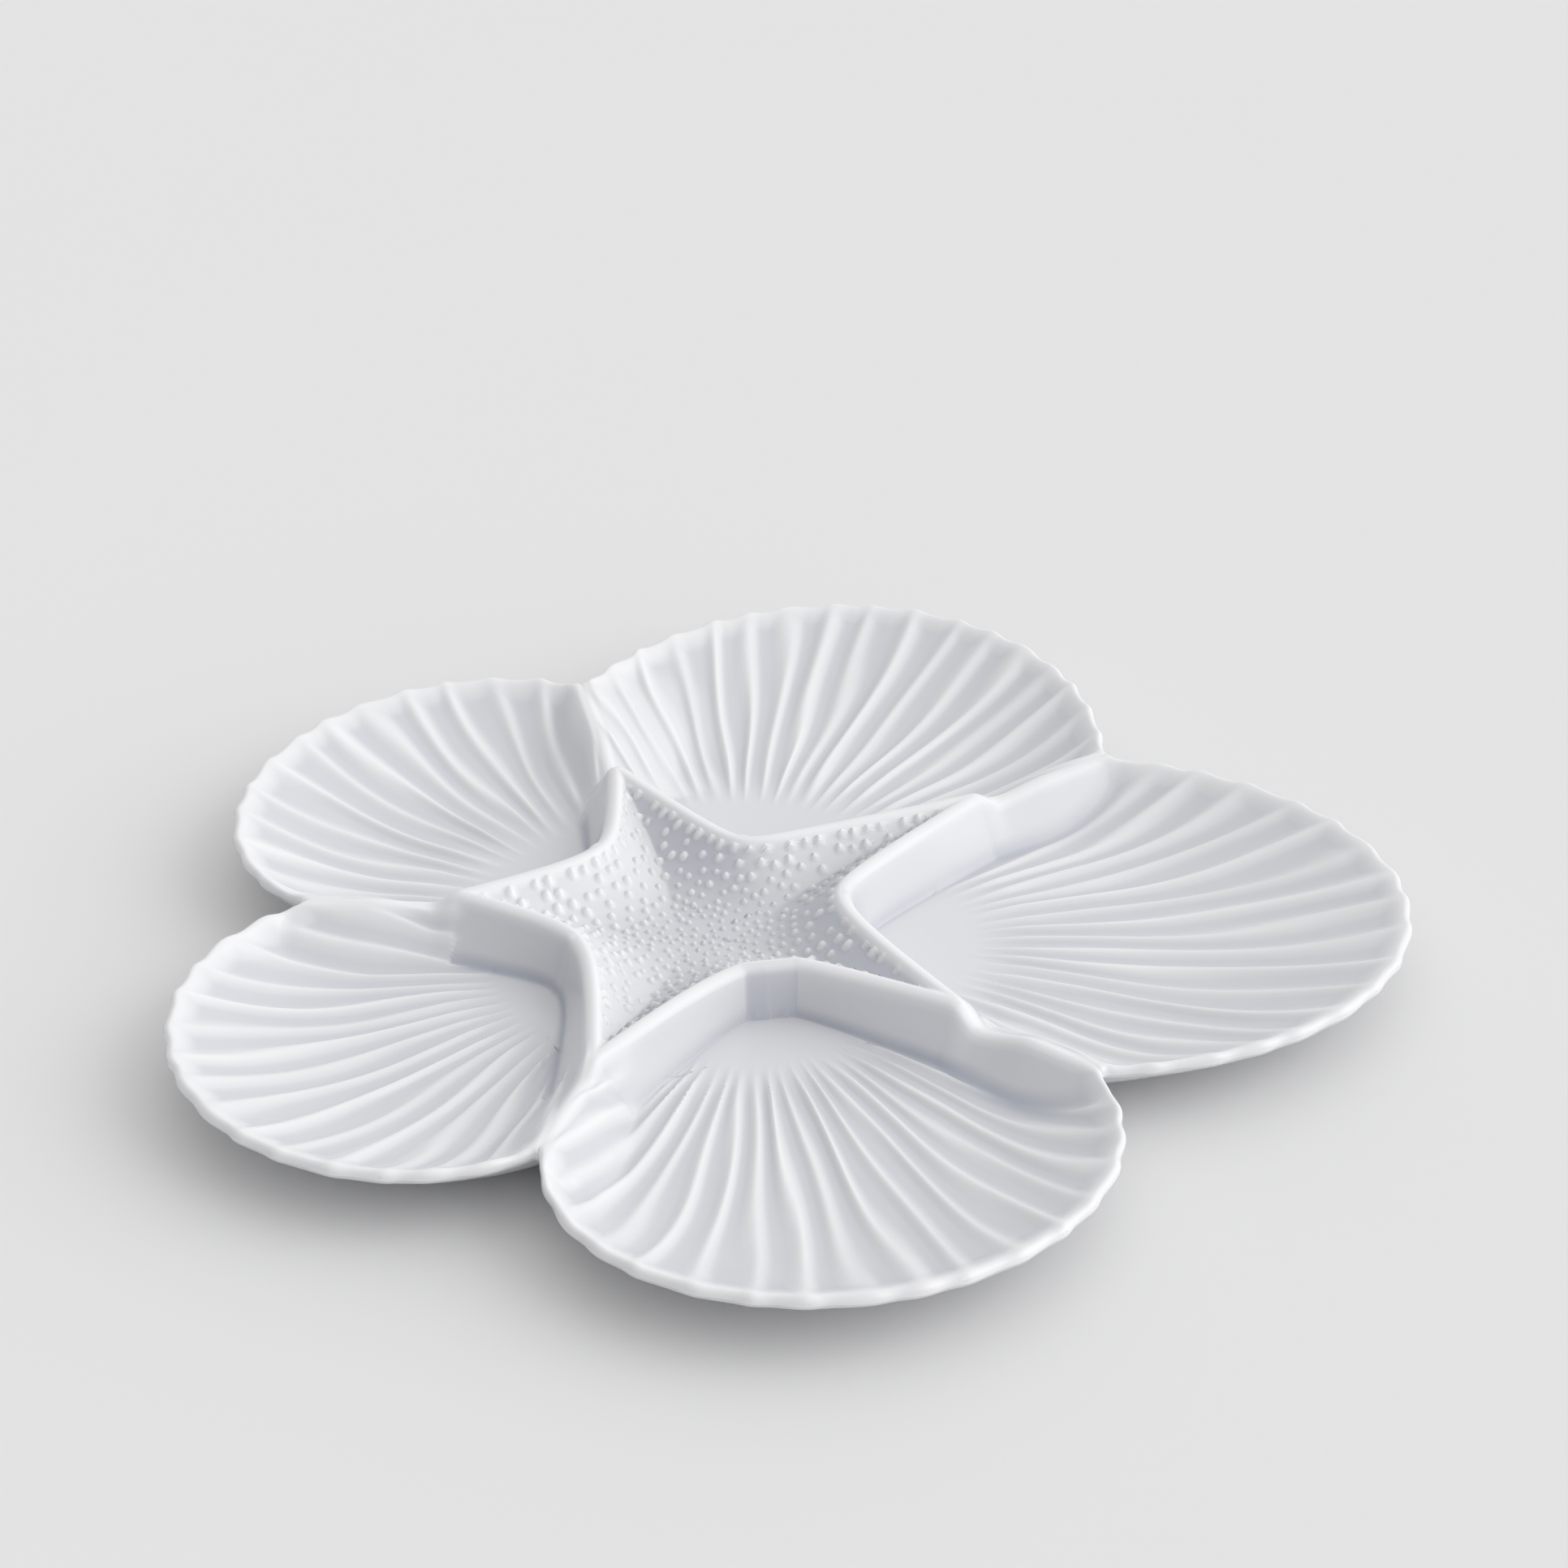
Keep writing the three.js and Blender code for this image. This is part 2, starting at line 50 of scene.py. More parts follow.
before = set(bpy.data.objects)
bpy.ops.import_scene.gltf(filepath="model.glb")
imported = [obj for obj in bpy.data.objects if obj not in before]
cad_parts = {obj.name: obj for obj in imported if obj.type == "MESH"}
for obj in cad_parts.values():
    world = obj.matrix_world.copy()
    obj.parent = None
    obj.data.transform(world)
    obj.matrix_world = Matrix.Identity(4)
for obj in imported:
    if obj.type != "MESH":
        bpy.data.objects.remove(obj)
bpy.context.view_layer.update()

# Shells in order of bearing, with bearings in degrees and sizes in metres. First the name, the number of
# flutes and how far from the focus they begin. The oval rim has the bearing of its axis, the distance from
# the starfish to its middle, its half length and half width. The starfish's corner at the hinge has a
# bearing, a radius, a rounding and the width of the wall there. The starfish's tip after the shell has a
# bearing, a radius and the height of the dip in the divider behind it. A flat that cuts the corner has a
# bearing and a distance, 0 for none. Last, the widths at the notches of the ribbed walls before and after
# the shell, 0 for a smooth wall.
SHELL_ROWS = (
    ("front", (17, 0.035), (17, 0.117, 0.066, 0.078), (24.5, 0.0365, 0.012, 0.0034),
     (52.2, 0.0865, 0.018), (10, 0.0373), (0.022, 0)),
    ("right", (17, 0.046), (90, 0.101, 0.099, 0.081), (90.5, 0.0375, 0.009, 0.0070),
     (124.0, 0.0930, 0.0205), (0, 0), (0.022, 0)),
    ("back", (17, 0.048), (158, 0.083, 0.098, 0.085), (163.0, 0.0303, 0.005, 0.0070),
     (203.0, 0.0735, 0.017), (0, 0), (0.022, 0.036)),
    ("back_left", (14, 0.044), (232, 0.098, 0.059, 0.071), (233.0, 0.0405, 0.008, 0.0070),
     (269.7, 0.0710, 0.020), (0, 0), (0.018, 0.022)),
    ("front_left", (15, 0.036), (306, 0.103, 0.063, 0.069), (300.0, 0.0430, 0.009, 0.0070),
     (339.3, 0.0850, 0.0215), (0, 0), (0.022, 0.022)),
)
# From the starfish's corner at a hinge to the middle of the foot ring under that shell
FOOT_DISTANCE = 0.062

# Fineness of the surfaces
COLUMNS_PER_FLUTE = 18
DIVIDER_COLUMNS = 36
HINGE_COLUMNS = 100
FLOOR_ROWS = 54
WALL_ROWS = 56
EDGE_ROWS = 8
FACE_ROWS = 4
UNDER_ROWS = 16
STAR_ROWS = 150
RIM_SCAN_STEPS = 2400
FOOT_SEGMENTS = 128

UNDER_EDGE_POINTS = 5
FOOT_BEVEL_SEGMENTS = 4
DIVIDER_STEPS = 50
MEAN_WIDTH = 9

MERGE_DISTANCE = 1e-6
SMOOTH_ANGLE = math.radians(50)
LEVEL_FACE = 0.5
TINY = 1e-9

# Bowls and walls. Bowls start at a share of the way from the focus to the rim. The rim's columns have their
# foot at a share of the way from the pad, and a wall's foot lies between its hinge and notch widths.
BOWL_START = 0.55
BOWL_SIDE_START = 0.72
BOWL_TOP_BLEND = 0.0012
RIM_COLUMN_FOOT = 0.66
WALL_FOOT_SHARE = 0.6
RIDGE_SHARE = 0.4
CORNER_FADE = 0.004
SEAM_FADE = 0.004

# Flutes and the ribs between them. Wander and the fades of ribs and scallops are counted in flutes, the climb
# in columns from the star's tip, and the rim's roll and fade are in metres.
CREST_SHARPNESS = 2.1
WANDER = 0.08
WANDER_ACROSS = 2.1
WANDER_ALONG = 12
FINE_WANDER = 0.05
FINE_WANDER_ACROSS = 5.3
FINE_WANDER_ALONG = 5
RIB_STRENGTH = 0.84
RIB_STRENGTH_SPREAD = 0.16
RIB_STRENGTH_TURN = 3.7
RIB_FADE = (0.1, 0.7)
FLOOR_RIB_REACH = 2.5
CLIMB_START = -16
CLIMB_FULL = 8
SCALLOP_FADE = (0.2, 0.9)
SCALLOP_MIDDLE = 0.45
RIM_GROOVE = 0.30
RIM_ROLL = 0.0016
RIM_FADE = 0.0085

# Painted shade and painted highlight in the shells, by how far a wall faces the shaded side: painted shade
# along the walls' feet, partly pooled glaze there, in the hinge's corner, in the grooves and on shaded walls;
# painted highlight on crests, ridges and lit walls
SHADED_SIDE = complex(-0.8, -0.6)
SHADED_FACING = (-0.2, 0.35)
LEAST_CREASE_DARKENING = 0.5
CREASE_DARKENING_REACH = 0.0034
CORNER_SHADE = 0.70
SHADED_WALL = 0.22
GROOVE_SHADE = 0.32
RIDGE_HIGHLIGHT = (0.0015, 0.0040)
LIT_WALL_HIGHLIGHT = 0.6
LIT_WALL_FACING = (0.55, 0.9)
LIT_WALL_REACH = 0.008

# The starfish's slopes, and the painted shade on its well and on its slopes that face the shaded side
FALL_SHARPNESS = 4
WELL_SHADED_SIDE = complex(-0.95, -0.3)
WELL_SHADED_FACING = (-0.45, 0.6)
WELL_SHADE = 0.35
SLOPE_SHADES = (-0.3, 0.7)
# Painted highlight on the starfish's rounded ridge
STAR_LIP_HIGHLIGHT = (0.0012, 0.0035)

# Nodules. Arm ranges are distances from the starfish's middle, and spreads are drawn from at random.
NODULE_SEED = 7
NODULE_ROWS = 8
ARM_PITCH = 0.0039
MIDDLE_PITCH = 0.0027
ROW_START = 0.0031
ROW_PITCH_SHARE = 0.9
SPACING_SHARE = 0.92
STATION_WANDER = 0.0005
ROW_WANDER = 0.0004
TANGENT_STEP = 0.0005
CROWDED = 0.0012
ROW_ARM = (0.012, 0.034)
ROW_RADII = (0.75, 1)
ROW_SPREAD = (0.8, 1.15)
STRETCH_SPREAD = (0.1, 0.6)
STRETCH_FADE = 1.2
STREWN_TRIES = 3000
STREWN_REACH = 0.028
STREWN_ARM = (0.010, 0.032)
STREWN_RADII = (0.65, 0.9)
STREWN_SPREAD = (0.85, 1.15)
NODULE_CLEAR = (0.0016, 0.0030)
# Painted highlight: how much whiter the nodules' tops are
NODULE_HIGHLIGHT = 1.5

# Finishes
CLOUD_RANGE = (0.3, 0.7)
CLOUD_SHARE = (0.75, 1.0)
GLAZE_ROUGHNESS = (0.16, 0.24)
GLAZE_IOR = 1.5
GLAZE_BUMP = 0.00012
CLAY_ROUGHNESS = (0.75, 0.95)
CLAY_BUMP = 0.0002
SPECK_RANGE = (0.62, 0.7)
SPECK_SHARE = 0.8

# Floor and light
FLOOR_SIZE = 60
FLOOR_DROP = 0.00005
FLOOR_CLOUDING = 1.01
FLOOR_ROUGHNESS = 0.9
FLOOR_SPECULAR = 0.1
SUN_FROM = (0.88, -0.18, 0.45)
SUN_STRENGTH = 0.95
SUN_SPREAD = math.radians(60)
ROOM_SIDE = (0.77, 0.32, 0.55)
ROOM_DIM = 0.14
ROOM_BRIGHT = 1.14

# The photograph's viewpoint, from the middle of the starfish
CAMERA_FROM_STAR = (0.0212, -1.0044, 0.6889)
TARGET_FROM_STAR = (0.0212, 0.0981, 0.0)
LENS = 96.9
SENSOR = 36


def star_centre():
    """Plan point of the starfish's middle, found from the foot ring under the right shell."""
    low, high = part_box("foot_ring_right")
    hinge, corner, _, _ = SHELL_ROWS[1][3]
    return complex(*((low + high) / 2).xy) - polar(corner + FOOT_DISTANCE, math.radians(hinge))


def polar(radius, bearing):
    """Plan point at a radius and bearing about the starfish."""
    return -1j * radius * np.exp(1j * bearing)


def length_property(name, description, default):
    return FloatProperty(
        name=name, description=description, default=default, min=0, subtype="DISTANCE", unit="LENGTH"
    )


def angle_property(name, description, default):
    return FloatProperty(
        name=name, description=description, default=default, subtype="ANGLE", unit="ROTATION"
    )


def colour_property(name, description, default):
    return FloatVectorProperty(
        name=name, description=description, default=default, size=3, min=0, max=1, subtype="COLOR"
    )


class ShellSizes(bpy.types.PropertyGroup):
    """Sizes of one shell dish"""

    bearing: angle_property("Rim bearing", "Direction of the oval rim's axis", 0)
    rim_centre: length_property("Rim centre", "From the starfish to the middle of the oval rim", 0.1)
    half_length: length_property("Half length", "Of the rim along the axis", 0.07)
    half_width: length_property("Half width", "Of the rim across the axis", 0.07)
    hinge: angle_property("Hinge bearing", "Direction of the starfish's corner at the hinge", 0)
    corner: length_property("Hinge corner", "Radius of that corner from the starfish's middle", 0.04)
    rounding: length_property("Hinge rounding", "Roundness of that corner", 0.008)
    wall_width: length_property("Hinge wall width", "Width in plan of the wall at that corner", 0.007)
    tip_bearing: angle_property("Tip bearing", "Direction of the starfish's tip after this shell", 0)
    tip: length_property("Star tip", "Radius of that tip", 0.08)
    dip: length_property("Dip height", "Lowest place of the divider behind that tip", 0.018)
    flat_bearing: angle_property("Flat bearing", "Direction that the flat in the hinge's corner faces", 0)
    flat: length_property("Flat distance", "From the starfish's middle to that flat, 0 for none", 0)
    ribs_before: length_property("Ribs before", "Notch width of a ribbed wall before, 0 if smooth", 0.022)
    ribs_after: length_property("Ribs after", "Notch width of a ribbed wall after, 0 if smooth", 0.022)
    flutes: IntProperty(name="Flutes", description="Number of flutes", default=16, min=3)
    flute_start: length_property("Flute start", "From the focus to where the flutes begin", 0.04)


class PlatterSizes(bpy.types.PropertyGroup):
    """Sizes that the pieces of the platter share"""

    shells: CollectionProperty(type=ShellSizes)
    star_rim_height: length_property(
        "Star rim height", "Top of the starfish's edge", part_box("starfish_well")[1].z
    )
    rim_height: length_property("Rim height", "Top of the shells' rims", 0.022)
    base_height: length_property("Base height", "Underside of the floors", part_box("starfish_well")[0].z)
    floor_height: length_property("Floor height", "Top of the floors", 0.008)
    lip_height: length_property("Lip height", "Height of the rim's outer face", 0.0050)
    lip_width: length_property("Lip width", "Level top of the rim", 0.0016)
    lip_rounding: length_property("Lip rounding", "Rounding of the rim's top edge", 0.0020)
    ridge_radius: length_property("Ridge radius", "Roundness of the ridge on top of a wall", 0.0032)
    notch_wall_width: length_property("Notch wall width", "Plan width of a smooth wall at the notch", 0.015)
    fillet: length_property("Fillet", "Blend between wall and floor", 0.0018)
    corner_blend: length_property("Corner blend", "Blend between the two walls at the hinge", 0.003)
    flat_blend: length_property("Flat blend", "Rounding at the ends of the flat in the corner", 0.0008)
    knuckle_length: length_property("Knuckle length", "Step down of a divider behind the star's tip", 0.009)
    dip_length: length_property("Dip length", "Climb of a divider from its dip to the rim's height", 0.018)
    notch_blend: length_property("Notch blend", "Web in the notch between two rims", 0.007)
    focus_radius: length_property("Focus radius", "Where the flutes seem to start from", 0.026)
    pad_distance: length_property("Pad distance", "From the hinge's corner to the floor's level pad", 0.0175)
    flute_ramp: length_property("Flute ramp", "Over which the flutes get their full depth", 0.022)
    flute_depth: length_property("Flute depth", "Height of the crests between flutes", 0.0016)
    flute_flare: FloatProperty(name="Flute flare", description="Outward bend of the flutes", default=0.15)
    scallop_depth: length_property("Scallop depth", "Bulge of the rim at a crest", 0.0009)
    star_depth: length_property("Star depth", "Depth that the well's floor tends to", 0.0145)
    star_fall: length_property("Star fall", "Distance over which the well falls", 0.0185)
    valley_blend: length_property("Valley blend", "Rounding of the valley along each arm of the star", 0.0015)
    star_lip_width: length_property("Star lip width", "Rounded ridge of the star", 0.0032)
    nodule_radius: length_property("Nodule radius", "Of the nodules in the arms", 0.00135)
    nodule_height: length_property("Nodule height", "Of the nodules in the arms", 0.0014)
    foot_radius: length_property("Foot radius", "Outer radius of a foot ring", 0.022)
    foot_width: length_property("Foot width", "Width of a foot ring's face", 0.006)
    foot_bevel: length_property("Foot bevel", "Rounding of a foot ring's edges", 0.0008)


class PlatterLook(bpy.types.PropertyGroup):
    """Colours of the finishes and of the stage"""

    glaze_colour: colour_property("Glaze", "White of the glazed porcelain", (0.74, 0.745, 0.77))
    # Painted highlight colour, and painted shade colour that is partly pooled glaze in the creases
    highlight_colour: colour_property("Painted highlight", "Painted highlight on crests, ridges, nodules, rim faces and lit walls", (0.87, 0.872, 0.885))
    pool_and_shade_colour: colour_property("Pooled glaze and painted shade", "Painted shade in creases, corners, grooves and shaded slopes, partly pooled glaze in creases", (0.45, 0.48, 0.55))
    bisque_colour: colour_property("Bisque", "Bare fired clay of the feet", (0.72, 0.68, 0.60))
    speck_colour: colour_property("Specks", "Iron specks in the bare clay", (0.50, 0.44, 0.36))
    floor_colour: colour_property("Floor", "Pale floor under the platter", (0.80, 0.80, 0.80))
    backdrop_colour: colour_property("Backdrop", "Pale grey behind the floor", (0.76, 0.76, 0.76))
    fill_colour: colour_property("Fill light", "Soft light from all round", (1.0, 1.0, 1.0))


# Shapes in plan and in height


def smoothstep(value, low, high):
    share = np.clip((value - low) / (high - low), 0, 1)
    return share * share * (3 - 2 * share)


def lerp(start, end, share):
    return start + (end - start) * share


def rounded_max(a, b, blend):
    """The larger of two heights, rounded over where they are within a blend of each other."""
    overlap = np.maximum(blend - np.abs(a - b), 0) / blend
    return np.maximum(a, b) + overlap * overlap * blend / 4


def rounded_min(a, b, blend):
    return -rounded_max(-a, -b, blend)


def rim_radius(shell, bearing):
    """Distance from the starfish to a shell's oval rim at a bearing, or 0 where it lies elsewhere."""
    angle = bearing - shell.bearing
    along = np.cos(angle) / shell.half_length
    across = np.sin(angle) / shell.half_width
    offset = shell.rim_centre / shell.half_length
    squared = along**2 + across**2
    root = (along * offset) ** 2 - squared * (offset**2 - 1)
    reach = (along * offset + np.sqrt(np.maximum(root, 0))) / squared
    return np.where(root > 0, reach, 0)


def divider_bearing(shell, following):
    """Bearing of the divider after a shell, where its rim and the next one's are equally far out."""
    low = shell.bearing
    high = following.bearing
    if high < low:
        high += math.tau
    for _ in range(DIVIDER_STEPS):
        middle = (low + high) / 2
        if rim_radius(shell, middle) > rim_radius(following, middle):
            low = middle
        else:
            high = middle
    return low


def nearest_on_path(points, path, values):
    """Distance from each point to a path, and the path's value at the nearest place on it."""
    best = np.full(points.shape, np.inf)
    found = np.zeros(points.shape)
    for start, end, low, high in zip(path[:-1], path[1:], values[:-1], values[1:]):
        run = end - start
        share = np.clip(((points - start) * np.conj(run)).real / abs(run) ** 2, 0, 1)
        distance = np.abs(points - start - run * share)
        nearer = distance < best
        best = np.where(nearer, distance, best)
        found = np.where(nearer, low + (high - low) * share, found)
    return best, found


class ShellPlan:
    """One shell in its own plan frame, with x out from its hinge, and its heights."""

    def __init__(self, sizes, index):
        self.sizes = sizes
        self.row = sizes.shells[index]
        self.before = sizes.shells[index - 1]
        self.after = sizes.shells[(index + 1) % len(sizes.shells)]
        self.axis = polar(1, self.row.hinge)
        self.end = divider_bearing(self.row, self.after)
        self.start = divider_bearing(self.before, self.row)
        while self.start > self.row.bearing:
            self.start -= math.tau
        self.pad = self.row.corner + sizes.pad_distance
        self.scan_rim()

    def local(self, radius, bearing):
        """Point at a radius and bearing about the starfish, in this shell's frame."""
        return radius * np.exp(1j * (bearing - self.row.hinge))

    def wall_widths(self, path, ribbed):
        """Width in plan of the wall along a path from the hinge's corner to a notch."""
        along = (path.real - self.row.corner) / (path[-1].real - self.row.corner)
        return lerp(self.row.wall_width, ribbed or self.sizes.notch_wall_width, along)

    def corner_share(self, path):
        """How far each place on a wall's path lies in the hinge's corner, from 0 to 1."""
        if self.row.flat == 0:
            return np.exp(-((np.abs(path - self.row.corner) / self.row.rounding) ** 2)) / 2
        facing = self.local(1, self.row.flat_bearing)
        past = (path * np.conj(facing)).real - self.row.flat
        return 1 - smoothstep(past, self.sizes.flat_blend / 4, self.sizes.flat_blend)

    def wall_height(self, ridge, width, distance):
        """Height of a wall at a distance from its round ridge. It meets the floor at the wall's width."""
        height = ridge - self.sizes.floor_height
        radius = np.minimum(self.sizes.ridge_radius, RIDGE_SHARE * height)
        straight = height - radius
        spare = width**2 - radius**2
        root = np.sqrt((straight * width) ** 2 - spare * (straight**2 - radius**2))
        slope = (straight * width + root) / spare
        round_end = radius * slope / np.sqrt(1 + slope**2)
        on_top = radius - np.sqrt(radius**2 - np.minimum(distance, round_end) ** 2)
        return ridge - on_top - np.maximum(distance - round_end, 0) * slope

    def star_edge(self, owner):
        """Edge of the starfish from its inner corner at this hinge to the tip after a shell."""
        tip = self.local(owner.tip, owner.tip_bearing)
        rounding = self.row.rounding
        base = self.row.corner - rounding
        spread = math.sqrt((tip.real - base) ** 2 - rounding**2) / tip.imag
        across = tip.imag * np.linspace(0, 1, HINGE_COLUMNS + 1)
        edge = base + np.hypot(rounding, spread * across) + 1j * across
        if self.row.flat == 0:
            return edge
        facing = self.local(1, self.row.flat_bearing)
        reached = (edge * np.conj(facing)).real
        return edge + facing * (rounded_max(reached, self.row.flat, self.sizes.flat_blend) - reached)

    def edges(self):
        """The starfish's edges from this hinge's corner to the tip after it and to the tip before it."""
        return self.star_edge(self.row), self.star_edge(self.before)

    def divider(self, owner, bearing):
        """Ridge of a divider from the star's tip straight to the notch: points, heights and shares passed."""
        sizes = self.sizes
        tip = self.local(owner.tip, owner.tip_bearing)
        notch = self.local(rim_radius(self.row, bearing) + sizes.notch_blend / 4, bearing)
        share = np.linspace(0, 1, DIVIDER_COLUMNS + 1)
        passed = share * abs(notch - tip)
        step = smoothstep(passed, 0, sizes.knuckle_length)
        climb = smoothstep(passed, sizes.knuckle_length, sizes.knuckle_length + sizes.dip_length)
        heights = lerp(sizes.star_rim_height, owner.dip, step) + (sizes.rim_height - owner.dip) * climb
        return lerp(tip, notch, share), heights, share

    def scan_rim(self):
        """Follows the rim between its two notches: even points, places counted in flutes, and the fan of
        directions and distances from the focus that they lie in."""
        bearings = np.linspace(self.start, self.end, RIM_SCAN_STEPS + 1)
        on_before = rim_radius(self.before, bearings)
        on_after = rim_radius(self.after, bearings)
        neighbour = np.where(bearings < self.row.bearing, on_before, on_after)
        radius = rounded_max(rim_radius(self.row, bearings), neighbour, self.sizes.notch_blend)
        scan = self.local(radius, bearings)
        passed = np.concatenate(([0], np.cumsum(np.abs(np.diff(scan)))))
        share = np.linspace(0, 1, self.row.flutes * COLUMNS_PER_FLUTE + 1)
        self.rim = np.interp(share * passed[-1], passed, scan)
        away = self.rim - self.sizes.focus_radius
        self.fan_angle = np.angle(away)
        self.fan_reach = np.abs(away)
        self.fan_phase = share * self.row.flutes

    def flute_phase(self, angle):
        """Place in the fan counted in flutes from the notch before, carried on past both notches."""
        first = self.fan_angle[COLUMNS_PER_FLUTE] - self.fan_angle[0]
        last = self.fan_angle[-1] - self.fan_angle[-1 - COLUMNS_PER_FLUTE]
        before = np.minimum(angle - self.fan_angle[0], 0) / first
        after = np.maximum(angle - self.fan_angle[-1], 0) / last
        return np.interp(angle, self.fan_angle, self.fan_phase) + before + after

    def spread_out(self, points):
        """Direction of each point from the focus, and its share of the way to the rim."""
        away = points - self.sizes.focus_radius
        angle = np.angle(away)
        return angle, np.abs(away) / np.interp(angle, self.fan_angle, self.fan_reach)

    def bowl_rise(self, angle, out):
        """Rise of the bowl from the floor to the rim, from 0 to 1. It starts later at the sides."""
        side = np.interp(angle, (self.fan_angle[0], 0, self.fan_angle[-1]), (1, 0, 1))
        start = lerp(BOWL_START, BOWL_SIDE_START, side**2)
        lip = 1 - self.sizes.lip_width / np.interp(angle, self.fan_angle, self.fan_reach)
        return (np.maximum(out / lip - start, 0) / (1 - start)) ** 2

    def crests(self, angle, out):
        """Height of the crests between flutes, from 0 to 1. Ribs flare outward and differ a little."""
        phase = self.flute_phase(angle * (1 + self.sizes.flute_flare * (1 - np.minimum(out, 1))))
        wander = WANDER * np.sin(WANDER_ACROSS * phase + WANDER_ALONG * out)
        fine = FINE_WANDER_ACROSS * phase + FINE_WANDER_ALONG * out + self.row.hinge
        wander = wander + FINE_WANDER * np.sin(fine)
        wave = ((1 + np.cos(math.tau * (phase + wander))) / 2) ** CREST_SHARPNESS
        turn = RIB_STRENGTH_TURN * np.round(phase + wander) + self.row.hinge
        strength = RIB_STRENGTH + RIB_STRENGTH_SPREAD * np.sin(turn)
        before = 1 if self.row.ribs_before else smoothstep(phase, *RIB_FADE)
        after = 1 if self.row.ribs_after else smoothstep(self.row.flutes - phase, *RIB_FADE)
        return wave * strength * before * after


def even_out(values):
    """Running mean round a closed row of values."""
    half = MEAN_WIDTH // 2
    return sum(np.roll(values, shift) for shift in range(-half, half + 1)) / MEAN_WIDTH


def scalloped_rim(plan):
    """The rim's upper edge, with a small bulge where each crest runs out, and its plain lower edge."""
    tangent = np.gradient(plan.rim)
    outward = -1j * tangent / np.abs(tangent)
    to_notch = np.minimum(plan.fan_phase, plan.row.flutes - plan.fan_phase)
    scallop = outward * plan.sizes.scallop_depth * smoothstep(to_notch, *SCALLOP_FADE)
    bulge = plan.crests(*plan.spread_out(plan.rim)) ** (1 / CREST_SHARPNESS)
    lower = plan.rim - scallop * SCALLOP_MIDDLE
    return lower + scallop * bulge, lower


def shell_columns(plan):
    """Columns of a shell's skin, counterclockwise: rim, divider after, hinge, divider before."""
    sizes = plan.sizes
    rim, lower_rim = scalloped_rim(plan)
    after, after_heights, after_share = plan.divider(plan.row, plan.end)
    before, before_heights, before_share = plan.divider(plan.before, plan.start)
    edge_after, edge_before = plan.edges()
    hinge = np.concatenate((edge_after[::-1][1:], edge_before[1:]))
    inside = np.concatenate((after[::-1][1:], hinge, before[1:-1]))
    points = np.concatenate((rim, inside))
    spread = np.concatenate(
        (np.ones(len(rim)), after_share[::-1][1:], np.zeros(len(hinge)), before_share[1:-1])
    )
    on_rim = np.arange(len(points)) < len(rim)
    tangent = np.roll(points, -1) - np.roll(points, 1)
    outward = -1j * tangent / np.abs(tangent)
    reach = ((points - plan.pad) * np.conj(outward)).real
    wall_foot = 1 - lerp(plan.row.wall_width, sizes.notch_wall_width, WALL_FOOT_SHARE) / reach
    foot = even_out(lerp(np.where(on_rim, RIM_COLUMN_FOOT, wall_foot), RIM_COLUMN_FOOT, spread**3))
    edge = even_out(1 - sizes.lip_rounding / reach)
    top = np.full(HINGE_COLUMNS, sizes.star_rim_height)
    path_after = np.concatenate((edge_after[:-1], after))
    path_before = np.concatenate((edge_before[:-1], before))
    walls = (
        (path_after, np.concatenate((top, after_heights)), plan.row.ribs_after),
        (path_before, np.concatenate((top, before_heights)), plan.row.ribs_before),
    )
    lower = np.concatenate((lower_rim, inside))
    return SimpleNamespace(
        points=points, lower=lower, on_rim=on_rim, foot=foot, edge=edge, walls=walls, rim=rim
    )


def wall_heights(plan, columns, points):
    """Height of the walls over each point, distance to the nearest one, how far the ribs climb it, how far it
    faces the shaded side, and how far it lies in the hinge's corner; the last two set painted shade."""
    heights = []
    distances = []
    climbs = []
    facings = []
    corners = []
    for path, ridges, ribbed in columns.walls:
        stations = np.arange(len(path))
        distance, station = nearest_on_path(points, path, stations)
        ridge = np.interp(station, stations, ridges)
        width = np.interp(station, stations, plan.wall_widths(path, ribbed))
        heights.append(plan.wall_height(ridge, width, distance))
        distances.append(distance)
        past_tip = station - HINGE_COLUMNS
        climbs.append((ribbed > 0) * smoothstep(past_tip, CLIMB_START, CLIMB_FULL))
        away = (points - np.interp(station, stations, path)) * plan.axis
        facings.append((away * np.conj(SHADED_SIDE)).real / (distance + TINY))
        corners.append(np.interp(station, stations, plan.corner_share(path)))
    nearest = np.minimum(*distances)
    rounding = plan.sizes.flat_blend if plan.row.flat else plan.sizes.corner_blend
    blend = rounding * smoothstep(nearest, 0, CORNER_FADE) + TINY
    first = heights[0] > heights[1]
    chosen = [np.where(first, *pair) for pair in (climbs, facings, corners)]
    return rounded_max(*heights, blend), nearest, *chosen


